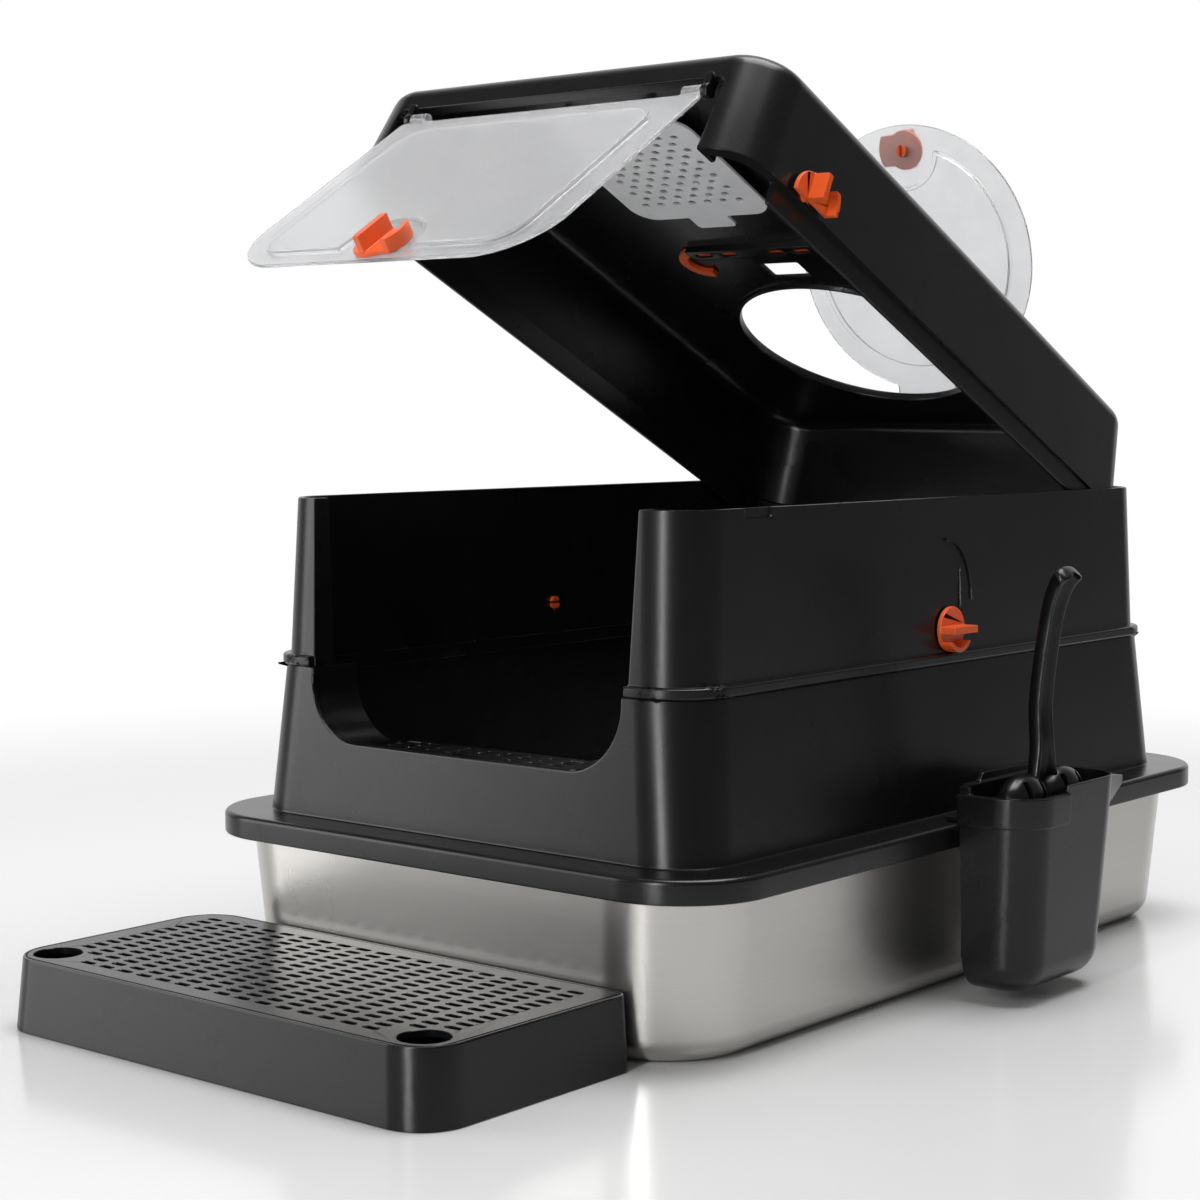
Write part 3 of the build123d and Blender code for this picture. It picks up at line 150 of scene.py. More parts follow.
def grain_group() -> bpy.types.NodeTree:
    """Fine mould grain with handling smudges, shared by all the plastics.

    Returns:
        A group that puts out a tint factor, a roughness and a normal.
    """
    tree = new_group(
        "mould_grain",
        {"Position": Socket.DIRECTION, "Roughness": Socket.VALUE, "Smudge": Socket.VALUE, "Depth": Socket.VALUE},
        {"Tint": Socket.VALUE, "Roughness": Socket.VALUE, "Normal": Socket.DIRECTION},
    )
    start, stop = ends(tree)
    fine = noise_node(tree, 1400, 3)
    broad = noise_node(tree, 9, 4)
    mottle = noise_node(tree, 60, 3)
    for node in (fine, broad, mottle):
        tree.links.new(start.outputs["Position"], node.inputs["Vector"])
    swing = tree.nodes.new("ShaderNodeMath")
    swing.operation = "MULTIPLY_ADD"
    tree.links.new(remap(tree, broad.outputs["Fac"], -1, 1), swing.inputs[0])
    tree.links.new(start.outputs["Smudge"], swing.inputs[1])
    tree.links.new(start.outputs["Roughness"], swing.inputs[2])
    bump = tree.nodes.new("ShaderNodeBump")
    bump.inputs["Distance"].default_value = 0.0004
    tree.links.new(start.outputs["Depth"], bump.inputs["Strength"])
    tree.links.new(fine.outputs["Fac"], bump.inputs["Height"])
    tree.links.new(remap(tree, mottle.outputs["Fac"], 0, 1), stop.inputs["Tint"])
    tree.links.new(swing.outputs[0], stop.inputs["Roughness"])
    tree.links.new(bump.outputs["Normal"], stop.inputs["Normal"])
    return tree


def brushed_group() -> bpy.types.NodeTree:
    """Fine level brushing lines of satin sheet steel.

    Returns:
        A group that puts out a tint factor, a roughness and a normal.
    """
    tree = new_group(
        "sheet_brushing",
        {"Position": Socket.DIRECTION, "Roughness": Socket.VALUE, "Depth": Socket.VALUE},
        {"Tint": Socket.VALUE, "Roughness": Socket.VALUE, "Normal": Socket.DIRECTION},
    )
    start, stop = ends(tree)
    stretch = tree.nodes.new("ShaderNodeMapping")
    stretch.inputs["Scale"].default_value = (4, 4, 900)
    tree.links.new(start.outputs["Position"], stretch.inputs["Vector"])
    lines = noise_node(tree, 3, 2)
    tree.links.new(stretch.outputs["Vector"], lines.inputs["Vector"])
    cloud = noise_node(tree, 7, 3)
    tree.links.new(start.outputs["Position"], cloud.inputs["Vector"])
    swing = tree.nodes.new("ShaderNodeMath")
    swing.operation = "ADD"
    tree.links.new(remap(tree, cloud.outputs["Fac"], -0.008, 0.012), swing.inputs[0])
    tree.links.new(start.outputs["Roughness"], swing.inputs[1])
    bump = tree.nodes.new("ShaderNodeBump")
    bump.inputs["Distance"].default_value = 0.0002
    tree.links.new(start.outputs["Depth"], bump.inputs["Strength"])
    tree.links.new(lines.outputs["Fac"], bump.inputs["Height"])
    tree.links.new(remap(tree, lines.outputs["Fac"], 0, 1), stop.inputs["Tint"])
    tree.links.new(swing.outputs[0], stop.inputs["Roughness"])
    tree.links.new(bump.outputs["Normal"], stop.inputs["Normal"])
    return tree


GRAIN = grain_group()
BRUSHED = brushed_group()
Colour = tuple[float, float, float]


@dataclass(frozen=True)
class Finish:
    """A finish of the box: two near colours that mottle, and how it shines.

    Attributes:
        name: Name of the material.
        slot: Slot of the record that it stands for. Not used.
        dark: Darker of the two colours.
        light: Lighter of the two colours.
        roughness: Mean roughness.
        smudge: How far the roughness swings.
        depth: Strength of the grain.
        specular: Specular level at the shader.
        metal: True for the sheet steel.
        transmission: Share of light that passes.
        scatter: Share of light that scatters below the surface.
    """

    name: str
    slot: Slot
    dark: Colour
    light: Colour
    roughness: float
    smudge: float = 0.03
    depth: float = 0.1
    specular: float = 0.5
    metal: bool = False
    transmission: float = 0.0
    scatter: float = 0.0

    def material(self) -> bpy.types.Material:
        """Build the material once and give it back after that.

        Returns:
            The material.
        """
        found = bpy.data.materials.get(self.name)
        if found:
            return found
        made = bpy.data.materials.new(self.name)
        made.use_nodes = True
        tree = made.node_tree
        shader = tree.nodes["Principled BSDF"]
        place = tree.nodes.new("ShaderNodeTexCoord")
        effect = tree.nodes.new("ShaderNodeGroup")
        effect.node_tree = BRUSHED if self.metal else GRAIN
        effect.inputs["Roughness"].default_value = self.roughness
        effect.inputs["Depth"].default_value = self.depth
        if not self.metal:
            effect.inputs["Smudge"].default_value = self.smudge
        mix = tree.nodes.new("ShaderNodeMix")
        mix.data_type = "RGBA"
        mix.inputs["A"].default_value = (*self.dark, 1)
        mix.inputs["B"].default_value = (*self.light, 1)
        tree.links.new(place.outputs["Object"], effect.inputs["Position"])
        tree.links.new(effect.outputs["Tint"], mix.inputs["Factor"])
        tree.links.new(mix.outputs["Result"], shader.inputs["Base Color"])
        tree.links.new(effect.outputs["Roughness"], shader.inputs["Roughness"])
        tree.links.new(effect.outputs["Normal"], shader.inputs["Normal"])
        shader.inputs["Metallic"].default_value = 1.0 if self.metal else 0.0
        shader.inputs["Specular IOR Level"].default_value = self.specular
        shader.inputs["Transmission Weight"].default_value = self.transmission
        shader.inputs["Subsurface Weight"].default_value = self.scatter
        shader.inputs["Subsurface Scale"].default_value = 0.004
        made.diffuse_color = (*self.light, 1)
        return made


SATIN_STEEL = Finish("satin_steel", Slot.STEEL, (0.545, 0.53, 0.51), (0.575, 0.56, 0.54), 0.28, depth=0.005, metal=True)
BLACK_SATIN = Finish("black_satin", Slot.BLACK, (0.0034, 0.0035, 0.0039), (0.0047, 0.0048, 0.0053), 0.27, specular=0.36)
FROSTED = Finish(
    "frosted_sheet", Slot.FROSTED, (0.82, 0.825, 0.84), (0.87, 0.875, 0.885), 0.24, depth=0.008, transmission=0.88
)
ORANGE = Finish("orange_moulding", Slot.ORANGE, (0.62, 0.080, 0.012), (0.69, 0.098, 0.018), 0.36, scatter=0.05)
WHITE = Finish("white_moulding", Slot.WHITE, (0.70, 0.705, 0.72), (0.76, 0.765, 0.78), 0.42, scatter=0.08)
FIBRE = Finish(
    "carbon_fibre_mat", Slot.FIBRE, (0.006, 0.006, 0.0065), (0.03, 0.03, 0.032), 0.9, depth=0.9, specular=0.2
)


def alone(piece: bpy.types.Object) -> None:
    """Select one object and make it the active one.

    Args:
        piece: Object to select.
    """
    bpy.ops.object.select_all(action="DESELECT")
    piece.select_set(True)
    bpy.context.view_layer.objects.active = piece


@contextmanager
def editing(piece: bpy.types.Object, mode: str = "FACE") -> Iterator[bpy.types.Object]:
    """Work on a piece in edit mode.

    Args:
        piece: Object to edit.
        mode: Kind of element that gets selected.

    Returns:
        The piece, in edit mode until the block ends.
    """
    alone(piece)
    bpy.ops.object.mode_set(mode="EDIT")
    bpy.ops.mesh.select_mode(type=mode)
    bpy.ops.mesh.select_all(action="DESELECT")
    yield piece
    bpy.ops.object.mode_set(mode="OBJECT")


def swept(
    name: str, profile: list[tuple[float, float]], steps: int, place: Callable[[float, float, float], Vector]
) -> bpy.types.Object:
    """Draw a profile out into a rod in edit mode, then bend the rod to its path.

    Args:
        name: Name of the piece.
        profile: Outline of the rod, as pairs of across and out.
        steps: Number of steps along the rod.
        place: Gives the point for a share of the length, across and out.

    Returns:
        The bent rod.
    """
    bpy.ops.object.select_all(action="DESELECT")
    bpy.ops.mesh.primitive_circle_add(vertices=len(profile), radius=1, fill_type="NGON", location=(0, 0, 0))
    piece = bpy.context.active_object
    piece.name = piece.data.name = name
    for vertex, (across, out) in zip(piece.data.vertices, profile):
        vertex.co = (across, out, 0)
    with editing(piece):
        bpy.ops.mesh.select_all(action="SELECT")
        for _ in range(steps):
            bpy.ops.mesh.extrude_region_move(TRANSFORM_OT_translate={"value": (0, 0, 1)})
    for vertex in piece.data.vertices:
        vertex.co = place(vertex.co.z / steps, vertex.co.x, vertex.co.y)
    with editing(piece):
        bpy.ops.mesh.select_all(action="SELECT")
        bpy.ops.mesh.normals_make_consistent(inside=False)
    return piece


def between(stops: tuple[tuple[float, float], ...], at: float) -> float:
    """Read a value between stops.

    Args:
        stops: Pairs of place and value, in order.
        at: Place to read.

    Returns:
        The value there.
    """
    for (low, first), (high, second) in zip(stops, stops[1:]):
        if at <= high:
            return first + (second - first) * (at - low) / (high - low)
    return stops[-1][1]


def along(points: tuple[tuple[float, float], ...], at: float) -> Vector:
    """Point on a smooth line through points.

    Args:
        points: Points that the line passes.
        at: Share of the line, from 0 to 1.

    Returns:
        The point there.
    """
    spot = min(max(at, 0.0), 1.0) * (len(points) - 1)
    index = min(int(spot), len(points) - 2)
    part = spot - index
    first, last = Vector(points[index]), Vector(points[index + 1])
    before = Vector(points[index - 1]) if index else 2 * first - last
    after = Vector(points[index + 2]) if index + 2 < len(points) else 2 * last - first
    bend = 2 * before - 5 * first + 4 * last - after
    twist = 3 * first - 3 * last + after - before
    return 0.5 * (2 * first + (last - before) * part + bend * part**2 + twist * part**3)


def apply_modifier(piece: bpy.types.Object, kind: str, **settings: object) -> None:
    """Add a modifier, set it up and apply it.

    Args:
        piece: Object that gets it.
        kind: Blender's name of the modifier.
        settings: Its settings.
    """
    alone(piece)
    modifier = piece.modifiers.new(kind.lower(), kind)
    for label, value in settings.items():
        setattr(modifier, label, value)
    bpy.ops.object.modifier_apply(modifier=modifier.name)


def faces_beside(mesh: bpy.types.Mesh) -> dict[tuple[int, int], list[int]]:
    """The faces at each edge of a mesh.

    Args:
        mesh: Mesh to look at.

    Returns:
        The indices of the faces, by edge.
    """
    beside: dict[tuple[int, int], list[int]] = {}
    for face in mesh.polygons:
        for key in face.edge_keys:
            beside.setdefault(key, []).append(face.index)
    return beside


def flat_areas(mesh: bpy.types.Mesh) -> list[float]:
    """For each face, the area of the whole flat that it belongs to.

    Args:
        mesh: Mesh to look at.

    Returns:
        One area for each face.
    """
    leader = list(range(len(mesh.polygons)))

    def top(index: int) -> int:
        """The face that stands for a flat.

        Args:
            index: A face of the flat.

        Returns:
            The index of that face.
        """
        while leader[index] != index:
            leader[index] = leader[leader[index]]
            index = leader[index]
        return index

    for pair in faces_beside(mesh).values():
        if len(pair) == 2 and mesh.polygons[pair[0]].normal.dot(mesh.polygons[pair[1]].normal) > 0.99999:
            leader[top(pair[0])] = top(pair[1])
    total: dict[int, float] = {}
    for face in mesh.polygons:
        total[top(face.index)] = total.get(top(face.index), 0.0) + face.area
    return [total[top(index)] for index in range(len(mesh.polygons))]


def smooth(piece: bpy.types.Object, angle: float = 40) -> None:
    """Shade a piece smooth except over sharp edges, with each flat kept perfectly flat.

    Args:
        piece: Object to shade.
        angle: Sharpest angle that is smoothed, in degrees.
    """
    alone(piece)
    bpy.ops.object.shade_smooth()
    mesh = piece.data
    areas = flat_areas(mesh)
    around: list[list[int]] = [[] for _ in mesh.vertices]
    for face in mesh.polygons:
        for vertex in face.vertices:
            around[vertex].append(face.index)
    limit = math.cos(math.radians(angle))
    normals: list[Vector] = [Vector((0, 0, 1))] * len(mesh.loops)
    for face in mesh.polygons:
        for loop in face.loop_indices:
            total = Vector()
            met: set[float] = set()
            for other in around[mesh.loops[loop].vertex_index]:
                if areas[other] not in met and mesh.polygons[other].normal.dot(face.normal) > limit:
                    met.add(areas[other])
                    total += mesh.polygons[other].normal * areas[other]
            normals[loop] = total.normalized() if total.length > 0 else face.normal
    mesh.normals_split_custom_set(normals)


def finish_piece(piece: bpy.types.Object, finish: Finish, body: str) -> bpy.types.Object:
    """Give a piece its finish and let it ride on its body.

    Args:
        piece: Finished mesh object.
        finish: Its finish.
        body: Body that it moves with.

    Returns:
        The piece.
    """
    piece.data.materials.clear()
    piece.data.materials.append(finish.material())
    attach(piece, body)
    LOG.info("%s: %d faces on %s", piece.name, len(piece.data.polygons), body)
    return piece


@dataclass
class Moulding:
    """A solid of the frame with its edges eased, as it leaves the mould.

    Attributes:
        node: Solid that it stands for.
        body: Body that it moves with.
        finish: Its finish.
        ease: Width of the eased edges, in metres.
        steps: Facets across an eased edge.
        sharp: Smallest angle between faces that gets eased, in degrees.
        holes: Middles of shaft holes, whose edges stay as they are.
        reach: How far round such a middle edges stay as they are, in metres.
    """

    node: str
    body: str
    finish: Finish
    ease: float = 0.0007
    steps: int = 2
    sharp: float = 40
    holes: tuple[Colour, ...] = ()
    reach: float = 0.011

    def copied(self) -> bpy.types.Object:
        """Copy the solid's mesh into a new object with its seams merged.

        Returns:
            The copy.
        """
        source = frame["nodes"][self.node]
        alone(source)
        bpy.ops.object.duplicate()
        piece = bpy.context.active_object
        bpy.ops.object.parent_clear(type="CLEAR_KEEP_TRANSFORM")
        piece.name = piece.data.name = self.node + "_moulding"
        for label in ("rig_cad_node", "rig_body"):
            del piece[label]
        with editing(piece, "VERT"):
            bpy.ops.mesh.select_all(action="SELECT")
            bpy.ops.mesh.customdata_custom_splitnormals_clear()
            bpy.ops.mesh.remove_doubles(threshold=1e-6)
        return piece

    def weigh_edges(self, piece: bpy.types.Object) -> None:
        """Mark the edges to ease, which are the sharp ones away from the shaft holes.

        Args:
            piece: Copy of the solid.
        """
        mesh = piece.data
        beside = faces_beside(mesh)
        limit = math.cos(math.radians(self.sharp))
        weight = mesh.attributes.new("bevel_weight_edge", "FLOAT", "EDGE")
        for edge in mesh.edges:
            pair = beside.get(edge.key, [])
            if len(pair) != 2 or mesh.polygons[pair[0]].normal.dot(mesh.polygons[pair[1]].normal) > limit:
                continue
            first, last = (mesh.vertices[index].co for index in edge.vertices)
            clear = True
            for spot in self.holes:
                _, share = intersect_point_line(Vector(spot), first, last)
                nearest = first.lerp(last, min(max(share, 0.0), 1.0))
                clear = clear and (nearest - Vector(spot)).length > self.reach
            weight.data[edge.index].value = float(clear)

    def shape(self, piece: bpy.types.Object) -> None:
        """Ease the sharp edges of the copy.

        Args:
            piece: Copy of the solid.
        """
        if self.ease > 0:
            self.weigh_edges(piece)
            apply_modifier(
                piece,
                "BEVEL",
                width=self.ease,
                segments=self.steps,
                limit_method="WEIGHT",
                use_clamp_overlap=False,
                miter_outer="MITER_ARC",
            )
        smooth(piece)

    def build(self) -> bpy.types.Object:
        """Make the dressed copy and let it stand for its solid.

        Returns:
            The dressed copy.
        """
        piece = self.copied()
        self.shape(piece)
        finish_piece(piece, self.finish, self.body)
        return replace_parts(piece, self.node)


@dataclass
class Pan:
    """Deep steel pan that everything stands on."""

    ease: float = 0.0004

    def build(self) -> None:
        """Dress the pan."""
        Moulding("steel_pan", "pan", SATIN_STEEL, ease=self.ease).build()


@dataclass
class LowerTier:
    """Flanged lower frame with its lined entrance and slotted sill."""

    ease: float = 0.0012
    sill_ease: float = 0.0004

    def build(self) -> None:
        """Dress the frame and its sill."""
        Moulding("lower_frame", "lower", BLACK_SATIN, ease=self.ease).build()
        Moulding("entry_grate", "lower", BLACK_SATIN, ease=self.sill_ease, steps=1).build()


@dataclass
class UpperTier:
    """Upper wall ring with its two locks and the raised marks beside them."""

    ease: float = 0.0010
    lock: Colour = (0.161623, 0.0, 0.218)
    mark_width: float = 0.0010
    mark_height: float = 0.0014
    mark_y: float = -0.002
    mark_z: float = 0.236
    mark_reach: tuple[float, float] = (0.030, 0.037)
    rib_y: float = 0.0150
    rib_z: tuple[float, float] = (0.2060, 0.2540)
    wall_lean: float = 0.0275

    def wall(self, z: float) -> float:
        """Half-width of the wall's outside at a height."""
        return self.lock[0] - self.wall_lean * (z - self.lock[2])

    def profile(self) -> list[tuple[float, float]]:
        """Outline of a raised line, sunk a little into the wall."""
        wide, high = self.mark_width, self.mark_height
        half = [(-wide, -0.001), (-wide, high * 0.5), (-wide * 0.5, high)]
        return half + [(-across, out) for across, out in reversed(half)]

    def marks(self, side: int) -> None:
        """Raise the curved turning mark and the tapered rib beside a lock.

        Args:
            side: 1 for the right, -1 for the left.
        """

        def bend(share: float, across: float, out: float) -> Vector:
            """Point on the turning mark.

            Args:
                share: Share of the length.
                across: Distance across the profile.
                out: Distance out of it.

            Returns:
                The point.
            """
            turn = math.radians(92 * share)
            y = self.mark_y + (self.mark_reach[0] + across) * math.sin(turn)
            z = self.mark_z + (self.mark_reach[1] + across) * math.cos(turn)
            return Vector((side * (self.wall(z) + out), y, z))

        def rise(share: float, across: float, out: float) -> Vector:
            """Point on the rib, which narrows upwards.

            Args:
                share: Share of the length.
                across: Distance across the profile.
                out: Distance out of it.

            Returns:
                The point.
            """
            z = self.rib_z[0] + (self.rib_z[1] - self.rib_z[0]) * share
            taper = 1.9 - 1.5 * share
            return Vector((side * (self.wall(z) + out * (taper if out > 0 else 1)), self.rib_y + across * taper, z))

        label = "right" if side > 0 else "left"
        for name, steps, place in (("turning_mark_", 20, bend), ("lock_rib_", 8, rise)):
            piece = swept(name + label, self.profile(), steps, place)
            smooth(piece)
            finish_piece(piece, BLACK_SATIN, "upper")

    def build(self) -> None:
        """Dress the ring, its marks and its locks."""
        x, y, z = self.lock
        Moulding("upper_frame", "upper", BLACK_SATIN, ease=self.ease, holes=(self.lock, (-x, y, z))).build()
        for side, label in ((1, "right"), (-1, "left")):
            self.marks(side)
            Moulding(f"tier_lock_{label}", f"tier_lock_{label}", ORANGE).build()


@dataclass
class HoodCover:
    """Tilting hood with its latches, ceiling fittings and filter."""

    ease: float = 0.0012
    latch: Colour = (0.157864, -0.152264, 0.471241)

    def build(self) -> None:
        """Dress the hood and what it carries."""
        x, y, z = self.latch
        Moulding("hood", "hood", BLACK_SATIN, ease=self.ease, holes=(self.latch, (-x, y, z))).build()
        Moulding("vent_insert", "hood", ORANGE, ease=0.0004).build()
        for label in ("right", "left"):
            Moulding(f"hood_latch_{label}", f"hood_latch_{label}", ORANGE).build()
        Moulding("filter_cover", "cover", WHITE, ease=0.0003, steps=1).build()
        Moulding("filter_pad", "cover", FIBRE, ease=0.0008).build()


@dataclass
class FrostedDoors:
    """Flap door and round lid of frosted sheet, each with its quarter-turn latch."""

    ease: float = 0.0008

    def build(self) -> None:
        """Dress the door, the lid and their latches."""
        Moulding("front_door", "door", FROSTED, ease=self.ease).build()
        Moulding("round_lid", "lid", FROSTED, ease=self.ease).build()
        Moulding("door_latch", "door_latch", ORANGE).build()
        Moulding("lid_latch", "lid_latch", ORANGE).build()


@dataclass
class ScoopAndHolder:
    """Pocket on the flange and the slotted scoop that stands in it."""

    ease: float = 0.0010
    head_cut: float = 0.1220
    lobe: Colour = (0.0121, 0.0228, 0.0175)
    lobe_at: tuple[Colour, ...] = ((0.2258, -0.0182, 0.1190), (0.2258, 0.0262, 0.1190))
    slot: Colour = (0.0200, 0.0044, 0.0210)
    slot_y: tuple[float, ...] = (-0.0080, 0.0080)
    handle_y: float = 0.004
    handle_wide: float = 0.0088
    handle_deep: float = 0.0088
    handle_path: tuple[tuple[float, float], ...] = (
        (0.2225, 0.1260),
        (0.2217, 0.1520),
        (0.2207, 0.1800),
        (0.2267, 0.2270),
        (0.2337, 0.2500),
        (0.2418, 0.2595),
    )
    handle_swell: tuple[tuple[float, float], ...] = (
        (0.0, 1.75),
        (0.08, 1.35),
        (0.20, 1.0),
        (0.60, 0.92),
        (0.80, 1.15),
        (0.92, 1.35),
        (0.98, 1.15),
        (1.0, 0.7),
    )

    def head(self) -> bpy.types.Object:
        """Slotted bowl of the scoop, cut level below its shoulders.

        Returns:
            The bowl.
        """
        piece = Moulding("scoop", "scoop", BLACK_SATIN).copied()
        with editing(piece, "VERT"):
            bpy.ops.mesh.select_all(action="SELECT")
            bpy.ops.mesh.bisect(plane_co=(0, 0, self.head_cut), plane_no=(0, 0, 1), use_fill=True, clear_outer=True)
        return piece

    def shoulder(self, middle: Colour) -> bpy.types.Object:
        """One of the two rounded shoulders of the bowl, with its slots.

        Args:
            middle: Middle of the rounding.

        Returns:
            The shoulder.
        """
        bpy.ops.object.select_all(action="DESELECT")
        bpy.ops.mesh.primitive_uv_sphere_add(segments=48, ring_count=24, radius=1, location=(0, 0, 0))
        piece = bpy.context.active_object
        piece.name = piece.data.name = "scoop_shoulder"
        with editing(piece, "VERT"):
            bpy.ops.mesh.select_all(action="SELECT")
            bpy.ops.transform.resize(value=self.lobe)
            bpy.ops.transform.translate(value=middle)
            bpy.ops.mesh.bisect(plane_co=middle, plane_no=(0, 0, 1), use_fill=True, clear_inner=True)
        for offset in self.slot_y:
            bpy.ops.object.select_all(action="DESELECT")
            bpy.ops.mesh.primitive_cube_add(size=1, location=(0, 0, 0))
            cutter = bpy.context.active_object
            with editing(cutter, "EDGE"):
                bpy.ops.mesh.select_all(action="SELECT")
                bpy.ops.transform.resize(value=self.slot)
                bpy.ops.mesh.bevel(offset=0.0018, segments=3, affect="EDGES")
                bpy.ops.mesh.select_all(action="SELECT")
                bpy.ops.transform.translate(value=(middle[0] + 0.0135, middle[1] + offset, middle[2] + 0.0035))
            apply_modifier(piece, "BOOLEAN", operation="DIFFERENCE", object=cutter)
            bpy.data.objects.remove(cutter)
        apply_modifier(
            piece, "BEVEL", width=0.0006, segments=2, limit_method="ANGLE", angle_limit=0.6, use_clamp_overlap=True
        )
        return piece

    def handle(self) -> bpy.types.Object:
        """Hollowed handle that swells at its foot and at its tip.

        Returns:
            The handle.
        """
        wide, deep = self.handle_wide, self.handle_deep
        outline = [
            (-wide * 0.6, -0.0016),
            (-wide, 0.0006),
            (-wide, deep * 0.8),
            (-wide * 0.84, deep),
            (-wide * 0.62, deep * 0.8),
            (-wide * 0.5, deep * 0.3),
            (wide * 0.5, deep * 0.3),
            (wide * 0.62, deep * 0.8),
            (wide * 0.84, deep),
            (wide, deep * 0.8),
            (wide, 0.0006),
            (wide * 0.6, -0.0016),
        ]

        def bend(share: float, across: float, out: float) -> Vector:
            """Point on the handle.

            Args:
                share: Share of the length.
                across: Distance across the profile.
                out: Distance out of it.

            Returns:
                The point.
            """
            spot = along(self.handle_path, share)
            way = (along(self.handle_path, share + 0.01) - along(self.handle_path, share - 0.01)).normalized()
            side = across * between(self.handle_swell, share)
            return Vector((spot.x + out * way.y, self.handle_y + side, spot.y - out * way.x))

        piece = swept("scoop_handle", outline, 30, bend)
        apply_modifier(piece, "SUBSURF", levels=2, render_levels=2)
        return piece

    def build(self) -> None:
        """Dress the pocket and put the scoop together."""
        Moulding("scoop_holder", "holder", BLACK_SATIN, ease=self.ease).build()
        piece = self.head()
        parts = [self.shoulder(middle) for middle in self.lobe_at] + [self.handle()]
        alone(piece)
        for part in parts:
            part.select_set(True)
        bpy.ops.object.join()
        smooth(piece)
        finish_piece(piece, BLACK_SATIN, "scoop")
        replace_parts(piece, "scoop")


@dataclass
class FrontStep:
    """Low tray with its lift-out slotted grate."""

    ease: float = 0.0010
    grate_ease: float = 0.0004

    def build(self) -> None:
        """Dress the tray and the grate."""
        Moulding("step_tray", "step", BLACK_SATIN, ease=self.ease).build()
        Moulding("step_grate", "step_grate", BLACK_SATIN, ease=self.grate_ease, steps=1).build()


@dataclass(frozen=True)
class Lamp:
    """A soft box of the studio.

    Attributes:
        name: Name of the lamp.
        place: Where it stands.
        aim: Point that it faces.
        width: Its width.
        height: Its height.
        power: Its power in watts.
    """

    name: str
    place: Colour
    aim: Colour
    width: float
    height: float
    power: float

    def build(self) -> None:
        """Put up the lamp."""
        data = bpy.data.lights.new(self.name, "AREA")
        data.shape = "RECTANGLE"
        data.size, data.size_y, data.energy = self.width, self.height, self.power
        lamp = bpy.data.objects.new(self.name, data)
        bpy.context.scene.collection.objects.link(lamp)
        lamp.location = self.place
        lamp.rotation_euler = (Vector(self.aim) - Vector(self.place)).to_track_quat("-Z", "Y").to_euler()


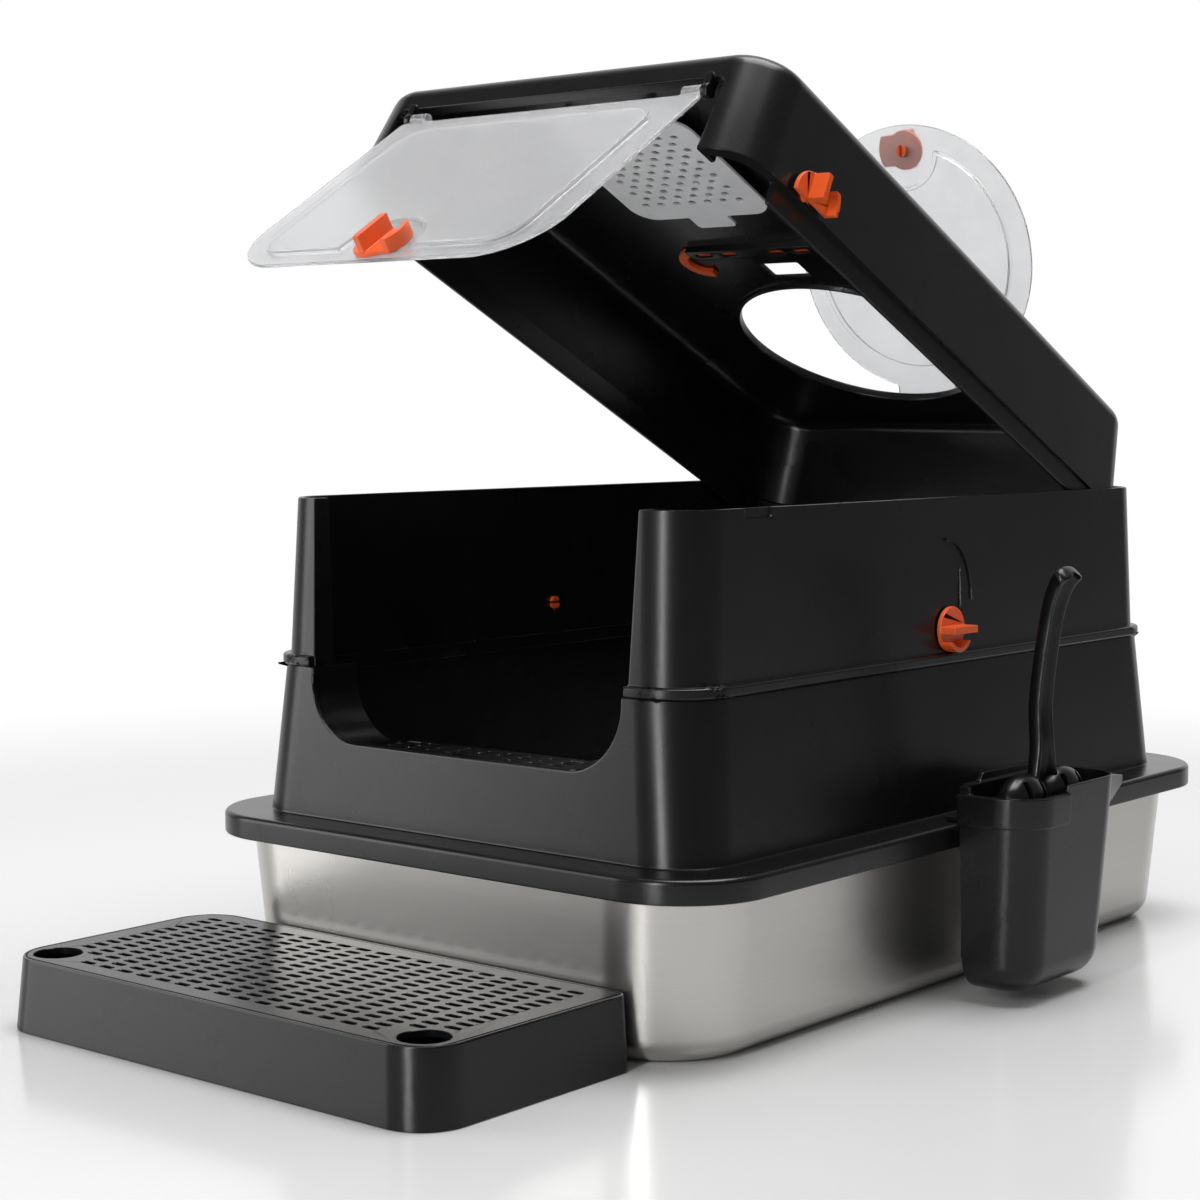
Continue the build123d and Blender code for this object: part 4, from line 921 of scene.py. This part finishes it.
@dataclass
class Studio:
    """Pale floor, soft light and the camera of the photograph."""

    azimuth: float = 39.62
    elevation: float = 4.59
    lens: float = 72.59
    camera_place: Colour = (0.9418, -1.2776, 0.3547)
    floor_size: float = 60.0
    ambient: float = 0.22
    mirrored: float = 0.14
    clear_from: float = 0.75
    clear_to: float = 1.45

    def floor(self) -> None:
        """Lay the glossy pale floor, which goes over into the white surround away from the object."""
        bpy.ops.object.select_all(action="DESELECT")
        bpy.ops.mesh.primitive_grid_add(x_subdivisions=4, y_subdivisions=4, size=self.floor_size, location=(0, 0, 0))
        ground = bpy.context.active_object
        ground.name = "studio_floor"
        made = bpy.data.materials.new("studio_floor")
        made.use_nodes = True
        tree = made.node_tree
        shader = tree.nodes["Principled BSDF"]
        shader.inputs["Base Color"].default_value = (0.64, 0.64, 0.64, 1)
        shader.inputs["Roughness"].default_value = 0.16
        place = tree.nodes.new("ShaderNodeTexCoord")
        length = tree.nodes.new("ShaderNodeVectorMath")
        length.operation = "LENGTH"
        tree.links.new(place.outputs["Object"], length.inputs[0])
        fade = tree.nodes.new("ShaderNodeMapRange")
        fade.interpolation_type = "SMOOTHSTEP"
        fade.inputs["From Min"].default_value = self.clear_from
        fade.inputs["From Max"].default_value = self.clear_to
        tree.links.new(length.outputs["Value"], fade.inputs["Value"])
        rays = tree.nodes.new("ShaderNodeLightPath")
        seen = tree.nodes.new("ShaderNodeMath")
        seen.operation = "MULTIPLY"
        tree.links.new(fade.outputs["Result"], seen.inputs[0])
        tree.links.new(rays.outputs["Is Camera Ray"], seen.inputs[1])
        white = tree.nodes.new("ShaderNodeEmission")
        mix = tree.nodes.new("ShaderNodeMixShader")
        tree.links.new(seen.outputs[0], mix.inputs["Fac"])
        tree.links.new(shader.outputs["BSDF"], mix.inputs[1])
        tree.links.new(white.outputs["Emission"], mix.inputs[2])
        tree.links.new(mix.outputs["Shader"], tree.nodes["Material Output"].inputs["Surface"])
        ground.data.materials.append(made)

    def surround(self) -> None:
        """Set the white surround: a bright backdrop behind the object and dim studio walls elsewhere."""
        world = bpy.data.worlds.new("studio")
        bpy.context.scene.world = world
        world.use_nodes = True
        tree = world.node_tree
        back = tree.nodes["Background"]
        back.inputs["Color"].default_value = (1, 1, 1, 1)
        rays = tree.nodes.new("ShaderNodeLightPath")
        place = tree.nodes.new("ShaderNodeTexCoord")
        facing = tree.nodes.new("ShaderNodeVectorMath")
        facing.operation = "DOT_PRODUCT"
        turn = math.radians(self.azimuth)
        facing.inputs[1].default_value = (-math.sin(turn), math.cos(turn), 0)
        tree.links.new(place.outputs["Generated"], facing.inputs[0])
        drop = tree.nodes.new("ShaderNodeMapRange")
        drop.interpolation_type = "SMOOTHSTEP"
        drop.inputs["From Min"].default_value = 0.45
        drop.inputs["From Max"].default_value = 0.85
        drop.inputs["To Min"].default_value = self.mirrored
        drop.inputs["To Max"].default_value = 1.0
        tree.links.new(facing.outputs["Value"], drop.inputs["Value"])
        shine = tree.nodes.new("ShaderNodeMix")
        shine.inputs["A"].default_value = self.ambient
        tree.links.new(rays.outputs["Is Glossy Ray"], shine.inputs["Factor"])
        tree.links.new(drop.outputs["Result"], shine.inputs["B"])
        clear = tree.nodes.new("ShaderNodeMath")
        clear.operation = "MAXIMUM"
        tree.links.new(rays.outputs["Is Camera Ray"], clear.inputs[0])
        tree.links.new(rays.outputs["Is Transmission Ray"], clear.inputs[1])
        seen = tree.nodes.new("ShaderNodeMix")
        seen.inputs["B"].default_value = 1.0
        tree.links.new(clear.outputs[0], seen.inputs["Factor"])
        tree.links.new(shine.outputs["Result"], seen.inputs["A"])
        tree.links.new(seen.outputs["Result"], back.inputs["Strength"])

    def lamps(self) -> None:
        """Put up the soft boxes."""
        for lamp in (
            Lamp("front_box", (-2.1, -1.9, 0.9), (0, -0.1, 0.25), 1.4, 1.8, 32),
            Lamp("corner_strip", (0.5, -2.5, 0.8), (0, -0.1, 0.25), 0.06, 1.9, 34),
            Lamp("top_box", (0.3, 0.2, 2.3), (0, 0, 0), 1.5, 1.5, 62),
        ):
            lamp.build()

    def camera(self) -> None:
        """Stand the camera where the photograph was taken."""
        data = bpy.data.cameras.new("photo_camera")
        data.lens, data.sensor_width, data.clip_end = self.lens, 36.0, 200
        camera = bpy.data.objects.new("photo_camera", data)
        bpy.context.scene.collection.objects.link(camera)
        camera.location = self.camera_place
        camera.rotation_euler = (math.radians(90 - self.elevation), 0, math.radians(self.azimuth))
        bpy.context.scene.camera = camera

    def build(self) -> None:
        """Set up the whole studio."""
        self.floor()
        self.surround()
        self.lamps()
        self.camera()
        bpy.context.scene.view_settings.view_transform = "Standard"


def main() -> None:
    """Dress every sub-assembly in order, then set up the studio."""
    logging.basicConfig(level=logging.INFO, format="%(name)s %(message)s")
    for assembly in (Pan(), LowerTier(), UpperTier(), HoodCover(), FrostedDoors(), ScoopAndHolder(), FrontStep()):
        assembly.build()
        LOG.info("%s done", type(assembly).__name__)
    Studio().build()


if __name__ == "__main__":
    main()
